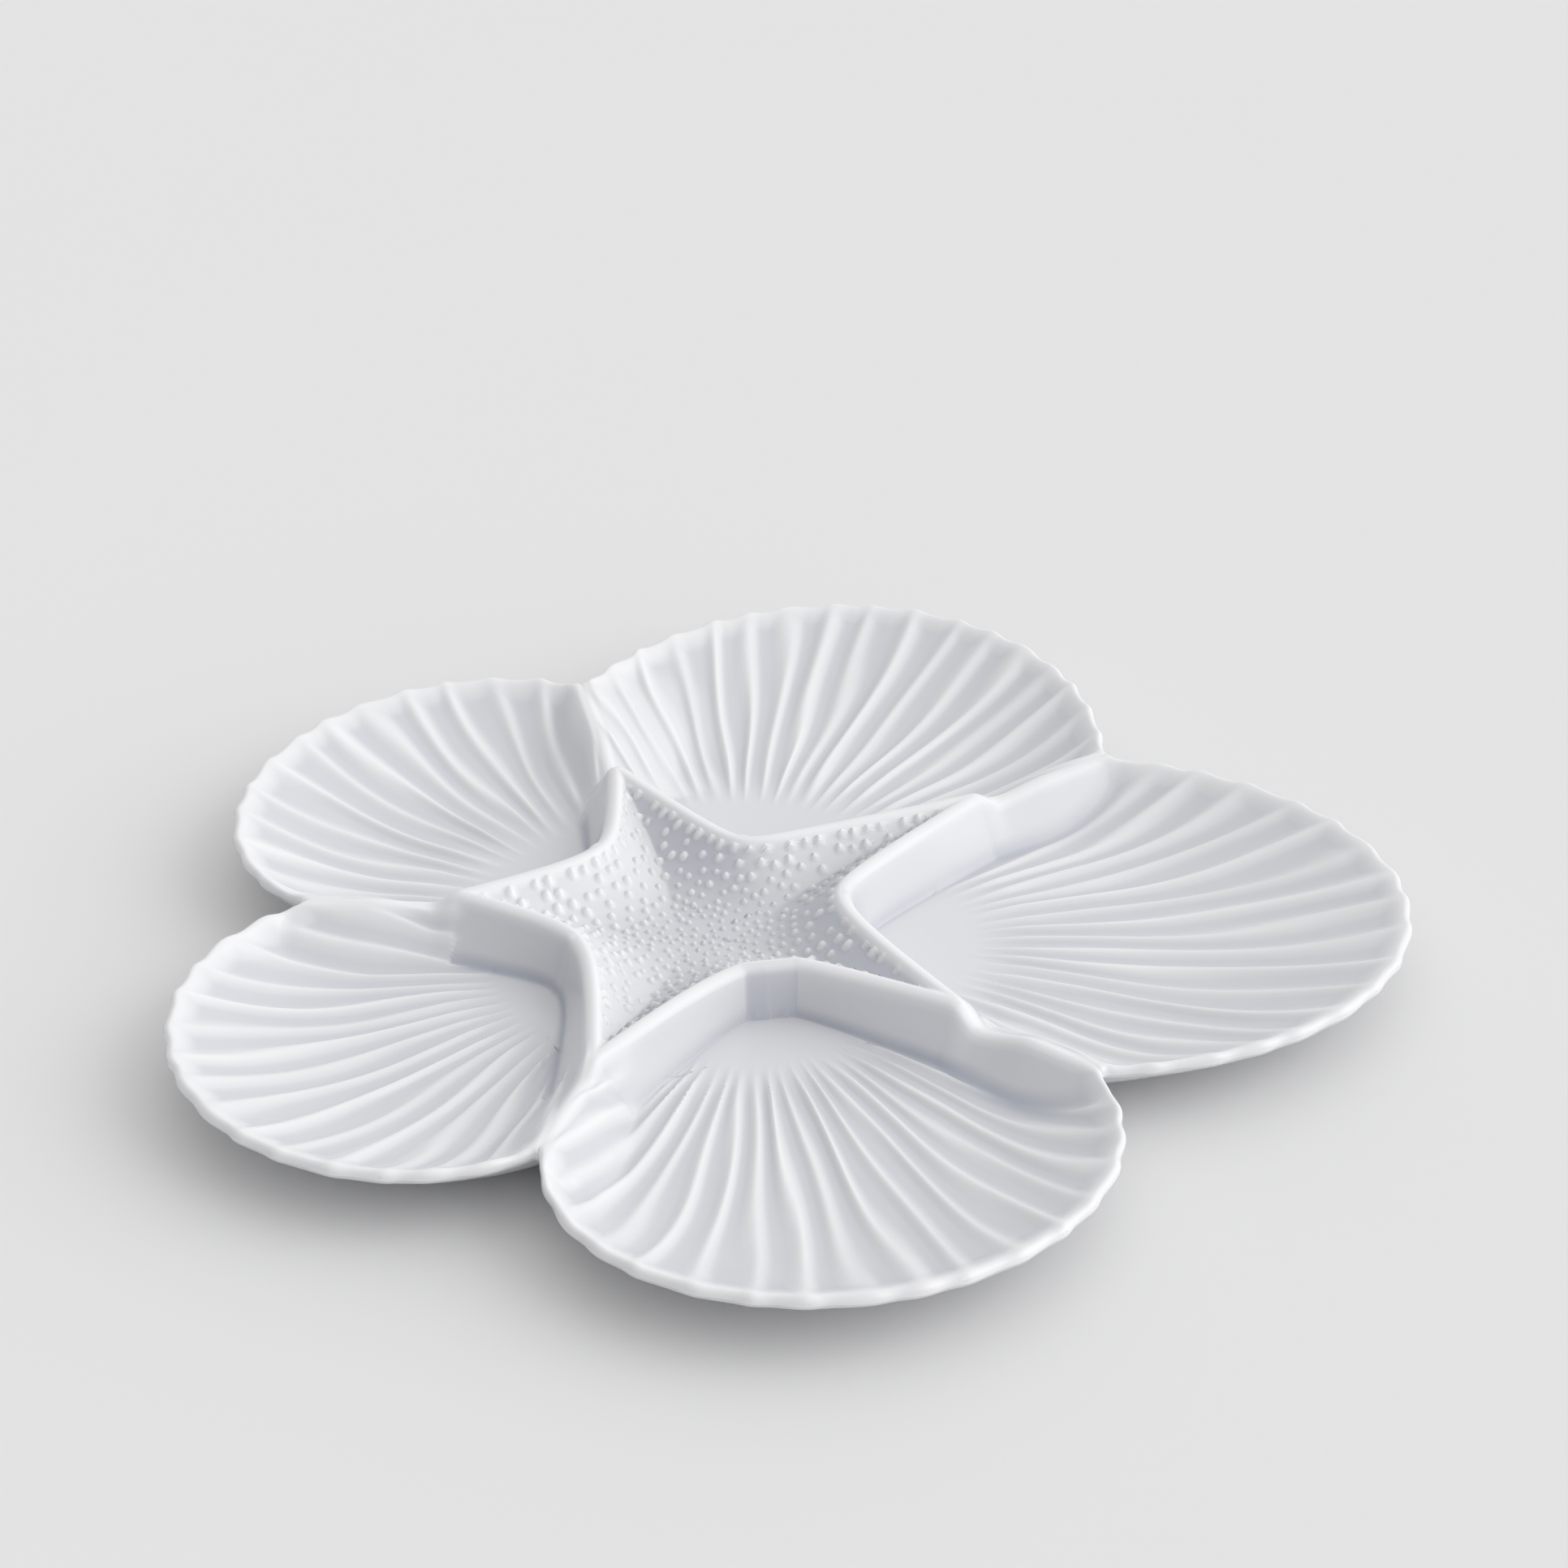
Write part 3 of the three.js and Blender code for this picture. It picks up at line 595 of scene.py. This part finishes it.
def dish_top(plan, columns, share):
    """Plan points, heights, and the painted shade and highlight of the glaze on a shell's upper side, a row
    for each row of shares.
    """
    sizes = plan.sizes
    points = lerp(plan.pad, columns.points, share)
    to_rim, _ = nearest_on_path(points, columns.rim[::2], columns.rim[::2].real)
    angle, out = plan.spread_out(points)
    rise = plan.bowl_rise(angle, out)
    rim_valley = sizes.rim_height - sizes.flute_depth
    floor = rounded_min(lerp(sizes.floor_height, rim_valley, rise), rim_valley, BOWL_TOP_BLEND)
    wall, nearest, climb, facing, corner = wall_heights(plan, columns, points)
    off_seam = smoothstep(nearest, 0, SEAM_FADE)
    height = lerp(wall, rounded_max(floor, wall, sizes.fillet), off_seam)
    crest = plan.crests(angle, out)
    flute_start = plan.row.flute_start
    begun = smoothstep(np.abs(points - sizes.focus_radius), flute_start, flute_start + sizes.flute_ramp)
    on_lip = 1 - smoothstep(to_rim, RIM_ROLL, RIM_FADE)
    on_floor = smoothstep(floor - wall, -sizes.fillet / 2, FLOOR_RIB_REACH * sizes.fillet)
    ribbed = begun * off_seam * np.maximum(np.maximum(on_floor, climb), on_lip)
    groove = (1 - crest) * lerp(1, RIM_GROOVE, on_lip)
    height = height + sizes.flute_depth * ribbed * (1 - groove)
    inward = np.clip(1 - to_rim / sizes.lip_rounding, 0, 1)
    height = height - sizes.lip_rounding * (1 - np.sqrt(1 - inward**2))
    # Painted shade along the walls' feet, partly pooled glaze there, strongest on walls facing the shaded
    # side
    toward_shade = smoothstep(facing, *SHADED_FACING) * (1 - climb)
    crease_darkening = lerp(LEAST_CREASE_DARKENING, 1, toward_shade) * (1 - climb)
    crease = np.exp(-((floor - wall) / CREASE_DARKENING_REACH) ** 2) * (1 - np.minimum(rise, 1))
    # Painted highlight on crests, the rim's roll, ridges and ribbed walls that face away from the shaded side
    on_ridge = 1 - smoothstep(nearest, *RIDGE_HIGHLIGHT)
    lit_wall = climb * smoothstep(-facing, *LIT_WALL_FACING) * smoothstep(wall - floor, -LIT_WALL_REACH, 0)
    highlight_share = np.maximum(np.maximum(ribbed * np.maximum(crest, on_lip), on_ridge), LIT_WALL_HIGHLIGHT * lit_wall)
    # Painted shade in the hinge's corner, on walls facing the shaded side and in the grooves between crests
    wall_shade = np.maximum(CORNER_SHADE * corner, SHADED_WALL * toward_shade) * smoothstep(wall - floor, 0, sizes.fillet)
    pool_and_shade = np.maximum(crease_darkening * crease, wall_shade) + GROOVE_SHADE * ribbed * groove
    painted_light_and_pooling = np.clip(pool_and_shade - highlight_share, -1, 1)
    return points, height, painted_light_and_pooling


def shell_rows(plan):
    """Rows of points of a shell's closed skin, from the pad on top, over the edge, to the pad underneath."""
    sizes = plan.sizes
    columns = shell_columns(plan)
    count = len(columns.points)
    inner = np.linspace(0, 1, FLOOR_ROWS + 1)[:, None] * columns.foot
    outer = lerp(columns.foot, columns.edge, np.linspace(0, 1, WALL_ROWS + 1)[1:, None])
    turn = np.sin(np.linspace(0, np.pi / 2, EDGE_ROWS + 1))[1:, None]
    over = lerp(columns.edge, np.ones(count), turn)
    points, height, painted_light_and_pooling = dish_top(plan, columns, np.concatenate((inner, outer, over)))
    under_share = np.concatenate((
        lerp(np.ones(count), columns.edge, 1 - np.cos(np.linspace(0, np.pi / 2, UNDER_EDGE_POINTS))[:, None]),
        columns.edge * np.linspace(1, 0, UNDER_ROWS + 1)[1:, None],
    ))
    near_edge = np.clip((under_share - columns.edge) / (1 - columns.edge), 0, 1)
    under_points = lerp(plan.pad, lerp(columns.lower, columns.points, near_edge**2), under_share)
    angle, out = plan.spread_out(under_points)
    rise = np.minimum(plan.bowl_rise(angle, out), 1)
    under = lerp(sizes.base_height, sizes.rim_height - sizes.lip_height, rise)
    under = under + sizes.lip_rounding * columns.on_rim * (1 - np.sqrt(1 - near_edge**2))
    face = lerp(height[-1], under[0], np.linspace(0, 1, FACE_ROWS + 1)[1:-1, None])
    plan_rows = np.concatenate((points, np.repeat(points[-1:], FACE_ROWS - 1, 0), under_points))
    heights = np.concatenate((height, face, under))
    outside = np.zeros((len(under), count))
    # Painted highlight on the rim's outer face
    face_highlight = np.full(face.shape, -1.0) * columns.on_rim
    return plan_rows * plan.axis, heights, np.concatenate((painted_light_and_pooling, face_highlight, outside))


# The starfish well


def star_sides(sizes):
    """Sides of the starfish, counterclockwise: one for each shell, from the tip before to the tip after."""
    sides = []
    for index in range(len(sizes.shells)):
        plan = ShellPlan(sizes, index)
        after, before = plan.edges()
        sides.append(np.concatenate((before[::-1], after[1:]))[::2] * plan.axis)
    return sides


def star_inset(sizes, sides, points):
    """Distance of each point to the star's nearest side, rounded over along the valleys of the arms, and how
    far the slope there faces the shaded side, which sets painted shade."""
    inset = np.full(points.shape, 1.0)
    facing = np.zeros(points.shape)
    for side in sides:
        stations = np.arange(len(side))
        distance, station = nearest_on_path(points, side, stations)
        away = points - np.interp(station, stations, side)
        toward_shade = (away * np.conj(WELL_SHADED_SIDE)).real / (distance + TINY)
        blend = np.minimum(sizes.valley_blend, (inset + distance) / 2) + TINY
        facing = lerp(toward_shade, facing, np.clip(0.5 + (distance - inset) / (2 * blend), 0, 1))
        inset = rounded_min(inset, distance, blend)
    return np.maximum(inset, 0), facing


def nodule_places(sizes, outline):
    """Nodules in loose rows along the star's edges, then smaller ones strewn over its middle.

    Each has a place, a radius, a direction down the slope and a stretch along it.
    """
    random = np.random.default_rng(NODULE_SEED)
    closed = np.append(outline, outline[0])
    passed = np.concatenate(([0], np.cumsum(np.abs(np.diff(closed)))))
    found = []

    def offer(point, radius, direction, stretch, spacing):
        if all(abs(point - other[0]) > spacing for other in found):
            found.append((point, radius, direction, stretch))

    for row in range(NODULE_ROWS):
        depth = ROW_START + ARM_PITCH * ROW_PITCH_SHARE * row
        stations = np.arange(ARM_PITCH / 2 * (row % 2), passed[-1], ARM_PITCH)
        stations = stations + random.normal(0, STATION_WANDER, len(stations))
        base = np.interp(stations, passed, closed)
        onward = np.interp(stations + TANGENT_STEP, passed, closed)
        ahead = onward - np.interp(stations - TANGENT_STEP, passed, closed)
        inward = 1j * ahead / np.abs(ahead)
        places = base + inward * (depth + random.normal(0, ROW_WANDER, len(stations)))
        distance, _ = nearest_on_path(places, closed[::2], closed[::2].real)
        for point, clear, direction in zip(places, distance, inward):
            if clear < depth - CROWDED:
                continue
            arm = float(smoothstep(abs(point), *ROW_ARM))
            radius = sizes.nodule_radius * lerp(*ROW_RADII, arm) * random.uniform(*ROW_SPREAD)
            stretch = 1 + random.uniform(*STRETCH_SPREAD) * math.exp(-row / STRETCH_FADE)
            offer(point, radius, direction, stretch, lerp(MIDDLE_PITCH, ARM_PITCH, arm) * SPACING_SHARE)
    for _ in range(STREWN_TRIES):
        point = complex(*random.uniform(-STREWN_REACH, STREWN_REACH, 2))
        arm = float(smoothstep(abs(point), *STREWN_ARM))
        radius = sizes.nodule_radius * lerp(*STREWN_RADII, arm) * random.uniform(*STREWN_SPREAD)
        offer(point, radius, 1j, 1, lerp(MIDDLE_PITCH, ARM_PITCH, arm) * SPACING_SHARE)
    return found


def star_rows(sizes):
    """Rows of points of the starfish's closed skin, from its middle, over the edge, to its middle below."""
    sides = star_sides(sizes)
    outline = np.concatenate([side[:-1] for side in sides])
    points = np.linspace(0, 1, STAR_ROWS + 1)[:, None] * outline
    depth, facing = star_inset(sizes, sides, points)
    depth[-1] = 0
    share = depth / sizes.star_fall
    bend = 1 + share**FALL_SHARPNESS
    fall = sizes.star_depth * share / bend ** (1 / FALL_SHARPNESS)
    steepness = bend ** (-1 - 1 / FALL_SHARPNESS)
    height = sizes.star_rim_height - fall * smoothstep(depth, 0, sizes.star_lip_width)
    bumps = np.zeros(points.shape)
    for point, radius, direction, stretch in nodule_places(sizes, outline):
        near = np.nonzero(np.abs(points - point) < 2 * radius)
        local = (points[near] - point) / direction
        away = np.hypot(local.real / stretch, local.imag) / radius
        dome = sizes.nodule_height * radius / sizes.nodule_radius * np.maximum(1 - away**2, 0)
        bumps[near] = np.maximum(bumps[near], dome)
    bumps = bumps * smoothstep(depth, *NODULE_CLEAR)
    # Painted shade on the well, more on slopes facing the shaded side
    slope_shade = lerp(*SLOPE_SHADES, smoothstep(facing, *WELL_SHADED_FACING))
    ground = lerp(WELL_SHADE, slope_shade, steepness)
    # Painted highlight on the starfish's ridge
    ground = lerp(-1, ground, smoothstep(depth, *STAR_LIP_HIGHLIGHT))
    # Painted highlight on the nodules' tops
    painted_light_and_pooling = np.clip(ground - NODULE_HIGHLIGHT * bumps / sizes.nodule_height, -1, 1)
    base = np.full((2, len(outline)), sizes.base_height)
    plan_rows = np.concatenate((points, outline[None, :], np.zeros((1, len(outline)))))
    heights = np.concatenate((height + bumps, base))
    light_and_pool_rows = np.concatenate((painted_light_and_pooling, np.zeros(base.shape)))
    return plan_rows, heights, light_and_pool_rows


# Meshes


def grid_piece(name, plan_rows, heights, light_and_pool_rows):
    """A closed skin from rows of points: a grid shaped row by row, then sewn along its meeting sides."""
    row_count, column_count = plan_rows.shape
    bpy.ops.object.select_all(action="DESELECT")
    bpy.ops.mesh.primitive_grid_add(x_subdivisions=column_count, y_subdivisions=row_count - 1, size=1)
    piece = bpy.context.object
    piece.name = piece.data.name = name
    flat = np.empty(len(piece.data.vertices) * 3)
    piece.data.vertices.foreach_get("co", flat)
    flat = flat.reshape(-1, 3)
    column = np.rint((flat[:, 0] + 0.5) * column_count).astype(int) % column_count
    row = np.rint((0.5 - flat[:, 1]) * (row_count - 1)).astype(int)
    points = plan_rows[row, column] + star_centre()
    shaped = np.stack((points.real, points.imag, heights[row, column]), axis=1)
    piece.data.vertices.foreach_set("co", shaped.ravel())
    # Painted shade and painted highlight for the glaze's colour, point by point
    painted_light_and_pooling = piece.data.attributes.new("painted_light_and_pooling", "FLOAT", "POINT")
    painted_light_and_pooling.data.foreach_set("value", light_and_pool_rows[row, column])
    bpy.ops.object.mode_set(mode="EDIT")
    bpy.ops.mesh.select_all(action="SELECT")
    bpy.ops.mesh.remove_doubles(threshold=MERGE_DISTANCE)
    bpy.ops.mesh.normals_make_consistent(inside=False)
    bpy.ops.object.mode_set(mode="OBJECT")
    bpy.ops.object.shade_smooth_by_angle(angle=SMOOTH_ANGLE)
    piece.location = (0, 0, 0)
    return piece


def finish_piece(piece, node, material):
    """Gives a piece its finish and puts it in the place of its solid."""
    piece.data.materials.clear()
    piece.data.materials.append(material)
    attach(piece, "root")
    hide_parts(node)


def foot_ring(sizes, name, centre):
    """A low ring: a disc whose two faces are inset, opened and bridged, with eased edges."""
    bpy.ops.object.select_all(action="DESELECT")
    bpy.ops.mesh.primitive_cylinder_add(
        vertices=FOOT_SEGMENTS, radius=sizes.foot_radius, depth=sizes.base_height, end_fill_type="NGON",
        location=(centre.real, centre.imag, sizes.base_height / 2),
    )
    ring = bpy.context.object
    ring.name = ring.data.name = name
    bpy.ops.object.transform_apply(location=True, rotation=True, scale=True)
    bpy.ops.object.mode_set(mode="EDIT")
    bpy.ops.mesh.select_mode(type="FACE")
    bpy.ops.mesh.select_all(action="DESELECT")
    bpy.ops.object.mode_set(mode="OBJECT")
    for polygon in ring.data.polygons:
        polygon.select = abs(polygon.normal.z) > LEVEL_FACE
    bpy.ops.object.mode_set(mode="EDIT")
    bpy.ops.mesh.inset(thickness=sizes.foot_width, use_even_offset=True)
    bpy.ops.mesh.delete(type="ONLY_FACE")
    bpy.ops.mesh.select_mode(type="EDGE")
    bpy.ops.mesh.select_all(action="DESELECT")
    bpy.ops.mesh.select_non_manifold(extend=False)
    bpy.ops.mesh.bridge_edge_loops()
    bpy.ops.mesh.select_all(action="SELECT")
    bpy.ops.mesh.normals_make_consistent(inside=False)
    bpy.ops.object.mode_set(mode="OBJECT")
    bevel = ring.modifiers.new("Eased edges", "BEVEL")
    bevel.width = sizes.foot_bevel
    bevel.segments = FOOT_BEVEL_SEGMENTS
    bevel.limit_method = "ANGLE"
    bpy.ops.object.modifier_apply(modifier=bevel.name)
    bpy.ops.object.shade_smooth_by_angle(angle=SMOOTH_ANGLE)
    return ring


# Finishes


def new_group(name, inputs, outputs):
    """A shader node group with named sockets, and its input and output nodes."""
    group = bpy.data.node_groups.new(name, "ShaderNodeTree")
    for socket, kind, default in inputs:
        made = group.interface.new_socket(socket, in_out="INPUT", socket_type=kind)
        made.default_value = default
    for socket, kind in outputs:
        group.interface.new_socket(socket, in_out="OUTPUT", socket_type=kind)
    return group, group.nodes.new("NodeGroupInput"), group.nodes.new("NodeGroupOutput")


def add_range(tree, value, low, high, to_low, to_high):
    """Maps a value from one range to another, held inside it."""
    node = tree.nodes.new("ShaderNodeMapRange")
    for socket, number in zip(("From Min", "From Max", "To Min", "To Max"), (low, high, to_low, to_high)):
        if isinstance(number, bpy.types.NodeSocket):
            tree.links.new(number, node.inputs[socket])
        else:
            node.inputs[socket].default_value = number
    tree.links.new(value, node.inputs["Value"])
    return node.outputs["Result"]


def add_mix(tree, factor, first, second):
    """Mixes two colours by a factor."""
    node = tree.nodes.new("ShaderNodeMix")
    node.data_type = "RGBA"
    sockets = (node.inputs[0], node.inputs[6], node.inputs[7])
    for socket, value in zip(sockets, (factor, first, second)):
        if isinstance(value, bpy.types.NodeSocket):
            tree.links.new(value, socket)
        else:
            socket.default_value = value
    return node.outputs[2]


def fired_surface_group():
    """Unevenness that firing leaves: a cloudy mask, a fine grain, and a surface height made of both."""
    inputs = (
        ("Cloud Scale", "NodeSocketFloat", 20.0),
        ("Grain Scale", "NodeSocketFloat", 400.0),
        ("Grain Share", "NodeSocketFloat", 0.5),
    )
    outputs = (("Cloud", "NodeSocketFloat"), ("Grain", "NodeSocketFloat"), ("Height", "NodeSocketFloat"))
    group, given, result = new_group("Fired surface", inputs, outputs)
    place_node = group.nodes.new("ShaderNodeTexCoord")
    values = []
    for scale_name, detail in (("Cloud Scale", 2.0), ("Grain Scale", 4.0)):
        noise = group.nodes.new("ShaderNodeTexNoise")
        noise.inputs["Detail"].default_value = detail
        group.links.new(place_node.outputs["Object"], noise.inputs["Vector"])
        group.links.new(given.outputs[scale_name], noise.inputs["Scale"])
        values.append(noise.outputs["Fac"])
    height = group.nodes.new("ShaderNodeMix")
    group.links.new(given.outputs["Grain Share"], height.inputs[0])
    group.links.new(values[0], height.inputs[2])
    group.links.new(values[1], height.inputs[3])
    group.links.new(values[0], result.inputs["Cloud"])
    group.links.new(values[1], result.inputs["Grain"])
    group.links.new(height.outputs[0], result.inputs["Height"])
    return group


def new_material(name):
    """A node material with its tree and its shader."""
    material = bpy.data.materials.new(name)
    material.use_nodes = True
    return material, material.node_tree, material.node_tree.nodes["Principled BSDF"]


def add_fired_surface(tree, cloud_scale, grain_scale, grain_share):
    node = tree.nodes.new("ShaderNodeGroup")
    node.node_tree = bpy.data.node_groups.get("Fired surface") or fired_surface_group()
    node.inputs["Cloud Scale"].default_value = cloud_scale
    node.inputs["Grain Scale"].default_value = grain_scale
    node.inputs["Grain Share"].default_value = grain_share
    return node.outputs


def add_bump(tree, height, depth, shader):
    bump = tree.nodes.new("ShaderNodeBump")
    bump.inputs["Strength"].default_value = 1
    bump.inputs["Distance"].default_value = depth
    tree.links.new(height, bump.inputs["Height"])
    tree.links.new(bump.outputs["Normal"], shader.inputs["Normal"])


def glaze_material(look):
    """Clear gloss glaze on white porcelain, with painted shade and painted highlight mixed into its colour.

    The attribute goes from -1, painted highlight on crests and ridges, to 1, painted shade in the creases,
    partly pooled glaze there.
    """
    made = bpy.data.materials.get("Porcelain glaze with painted light")
    if made:
        return made
    material, tree, shader = new_material("Porcelain glaze with painted light")
    surface = add_fired_surface(tree, cloud_scale=35, grain_scale=240, grain_share=0.35)
    painted_light_and_pooling = tree.nodes.new("ShaderNodeAttribute")
    painted_light_and_pooling.attribute_name = "painted_light_and_pooling"
    cloud = add_range(tree, surface["Cloud"], *CLOUD_RANGE, *CLOUD_SHARE)
    # Painted shade mixes towards the darker colour and painted highlight towards the whiter one
    pool_and_shade_share = add_range(tree, painted_light_and_pooling.outputs["Fac"], 0, 1, 0, cloud)
    highlight_share = add_range(tree, painted_light_and_pooling.outputs["Fac"], -1, 0, cloud, 0)
    colour = add_mix(tree, pool_and_shade_share, (*look.glaze_colour, 1), (*look.pool_and_shade_colour, 1))
    colour = add_mix(tree, highlight_share, colour, (*look.highlight_colour, 1))
    tree.links.new(colour, shader.inputs["Base Color"])
    roughness = add_range(tree, surface["Cloud"], *CLOUD_RANGE, *GLAZE_ROUGHNESS)
    tree.links.new(roughness, shader.inputs["Roughness"])
    shader.inputs["IOR"].default_value = GLAZE_IOR
    add_bump(tree, surface["Height"], GLAZE_BUMP, shader)
    return material


def bisque_material(look):
    """Bare fired clay: sandy, matt and lightly specked."""
    made = bpy.data.materials.get("Bare clay")
    if made:
        return made
    material, tree, shader = new_material("Bare clay")
    surface = add_fired_surface(tree, cloud_scale=90, grain_scale=1500, grain_share=0.8)
    specks = add_range(tree, surface["Grain"], *SPECK_RANGE, 0, SPECK_SHARE)
    colour = add_mix(tree, specks, (*look.bisque_colour, 1), (*look.speck_colour, 1))
    tree.links.new(colour, shader.inputs["Base Color"])
    roughness = add_range(tree, surface["Cloud"], *CLOUD_RANGE, *CLAY_ROUGHNESS)
    tree.links.new(roughness, shader.inputs["Roughness"])
    add_bump(tree, surface["Height"], CLAY_BUMP, shader)
    return material


# Operators


class PLATTER_OT_shells(bpy.types.Operator):
    """Model the five fluted shell dishes"""

    bl_idname = "platter.shells"
    bl_label = "Shell Dishes"

    def execute(self, context):
        sizes = context.scene.platter_sizes
        for index, row in enumerate(sizes.shells):
            plan = ShellPlan(sizes, index)
            piece = grid_piece(f"shell_{row.name}", *shell_rows(plan))
            finish_piece(piece, f"shell_dish_{row.name}", glaze_material(context.scene.platter_look))
        return {"FINISHED"}


class PLATTER_OT_starfish(bpy.types.Operator):
    """Model the starfish well with its nodules"""

    bl_idname = "platter.starfish"
    bl_label = "Starfish Well"

    def execute(self, context):
        piece = grid_piece("starfish", *star_rows(context.scene.platter_sizes))
        finish_piece(piece, "starfish_well", glaze_material(context.scene.platter_look))
        return {"FINISHED"}


class PLATTER_OT_feet(bpy.types.Operator):
    """Model the bare clay foot rings"""

    bl_idname = "platter.feet"
    bl_label = "Foot Rings"

    def execute(self, context):
        sizes = context.scene.platter_sizes
        for row in sizes.shells:
            node = f"foot_ring_{row.name}"
            low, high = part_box(node)
            ring = foot_ring(sizes, f"foot_{row.name}", complex(*((low + high) / 2).xy))
            finish_piece(ring, node, bisque_material(context.scene.platter_look))
        return {"FINISHED"}


class PLATTER_OT_stage(bpy.types.Operator):
    """Set up the floor, the lights and the camera"""

    bl_idname = "platter.stage"
    bl_label = "Stage"

    def execute(self, context):
        look = context.scene.platter_look
        add_floor(look)
        add_lights(context, look)
        add_camera(context)
        context.scene.view_settings.view_transform = "Standard"
        return {"FINISHED"}


def add_floor(look):
    bpy.ops.object.select_all(action="DESELECT")
    bpy.ops.mesh.primitive_plane_add(size=FLOOR_SIZE, location=(0, 0, -FLOOR_DROP))
    floor = bpy.context.object
    floor.name = "floor"
    material, tree, shader = new_material("Pale floor")
    surface = add_fired_surface(tree, cloud_scale=3, grain_scale=300, grain_share=0.5)
    light = tuple(min(channel * FLOOR_CLOUDING, 1) for channel in look.floor_colour)
    colour = add_mix(tree, surface["Cloud"], (*look.floor_colour, 1), (*light, 1))
    tree.links.new(colour, shader.inputs["Base Color"])
    shader.inputs["Roughness"].default_value = FLOOR_ROUGHNESS
    shader.inputs["Specular IOR Level"].default_value = FLOOR_SPECULAR
    floor.data.materials.append(material)


def add_lights(context, look):
    """A wide soft sun from the right, in a room that is brighter above and on that side."""
    sun = bpy.data.lights.new("Soft key", "SUN")
    sun.energy = SUN_STRENGTH
    sun.angle = SUN_SPREAD
    lamp = bpy.data.objects.new("Soft key", sun)
    lamp.rotation_euler = Vector(SUN_FROM).to_track_quat("Z", "Y").to_euler()
    context.scene.collection.objects.link(lamp)
    world = bpy.data.worlds.new("Soft room")
    world.use_nodes = True
    tree = world.node_tree
    fill = tree.nodes["Background"]
    fill.inputs["Color"].default_value = (*look.fill_colour, 1)
    direction = tree.nodes.new("ShaderNodeTexCoord")
    side = tree.nodes.new("ShaderNodeVectorMath")
    side.operation = "DOT_PRODUCT"
    side.inputs[1].default_value = ROOM_SIDE
    tree.links.new(direction.outputs["Generated"], side.inputs[0])
    strength = add_range(tree, side.outputs["Value"], -1, 1, ROOM_DIM, ROOM_BRIGHT)
    tree.links.new(strength, fill.inputs["Strength"])
    seen = tree.nodes.new("ShaderNodeBackground")
    seen.inputs["Color"].default_value = (*look.backdrop_colour, 1)
    rays = tree.nodes.new("ShaderNodeLightPath")
    backdrop_rays = rays.outputs["Is Camera Ray"]
    for kind in ("Is Glossy Ray", "Is Transmission Ray"):
        either = tree.nodes.new("ShaderNodeMath")
        either.operation = "MAXIMUM"
        tree.links.new(backdrop_rays, either.inputs[0])
        tree.links.new(rays.outputs[kind], either.inputs[1])
        backdrop_rays = either.outputs[0]
    choice = tree.nodes.new("ShaderNodeMixShader")
    tree.links.new(backdrop_rays, choice.inputs[0])
    tree.links.new(fill.outputs[0], choice.inputs[1])
    tree.links.new(seen.outputs[0], choice.inputs[2])
    tree.links.new(choice.outputs[0], tree.nodes["World Output"].inputs["Surface"])
    context.scene.world = world


def add_camera(context):
    star = Vector((star_centre().real, star_centre().imag, 0))
    eye = star + Vector(CAMERA_FROM_STAR)
    target = star + Vector(TARGET_FROM_STAR)
    camera = bpy.data.cameras.new("Camera")
    camera.lens = LENS
    camera.sensor_width = SENSOR
    holder = bpy.data.objects.new("Camera", camera)
    holder.location = eye
    holder.rotation_euler = (eye - target).to_track_quat("Z", "Y").to_euler()
    context.scene.collection.objects.link(holder)
    context.scene.camera = holder


class PLATTER_PT_panel(bpy.types.Panel):
    """Steps that make the platter"""

    bl_idname = "PLATTER_PT_panel"
    bl_label = "Shell Platter"
    bl_space_type = "VIEW_3D"
    bl_region_type = "UI"
    bl_category = "Platter"

    def draw(self, context):
        for operator in OPERATORS:
            self.layout.operator(operator.bl_idname)


OPERATORS = (PLATTER_OT_shells, PLATTER_OT_starfish, PLATTER_OT_feet, PLATTER_OT_stage)
CLASSES = (ShellSizes, PlatterSizes, PlatterLook, *OPERATORS, PLATTER_PT_panel)


def register():
    for cls in CLASSES:
        bpy.utils.register_class(cls)
    bpy.types.Scene.platter_sizes = PointerProperty(type=PlatterSizes)
    bpy.types.Scene.platter_look = PointerProperty(type=PlatterLook)


def unregister():
    del bpy.types.Scene.platter_look
    del bpy.types.Scene.platter_sizes
    for cls in reversed(CLASSES):
        bpy.utils.unregister_class(cls)


def fill_shells(sizes):
    """Gives each shell its row of sizes."""
    for name, flutes, rim, hinge, tip, flat, ribs in SHELL_ROWS:
        shell = sizes.shells.add()
        shell.name = name
        shell.flutes, shell.flute_start = flutes
        bearing, shell.rim_centre, shell.half_length, shell.half_width = rim
        shell.bearing = math.radians(bearing)
        bearing, shell.corner, shell.rounding, shell.wall_width = hinge
        shell.hinge = math.radians(bearing)
        bearing, shell.tip, shell.dip = tip
        shell.tip_bearing = math.radians(bearing)
        bearing, shell.flat = flat
        shell.flat_bearing = math.radians(bearing)
        shell.ribs_before, shell.ribs_after = ribs


def main():
    register()
    fill_shells(bpy.context.scene.platter_sizes)
    bpy.ops.platter.shells()
    bpy.ops.platter.starfish()
    bpy.ops.platter.feet()
    bpy.ops.platter.stage()


if __name__ == "__main__":
    main()
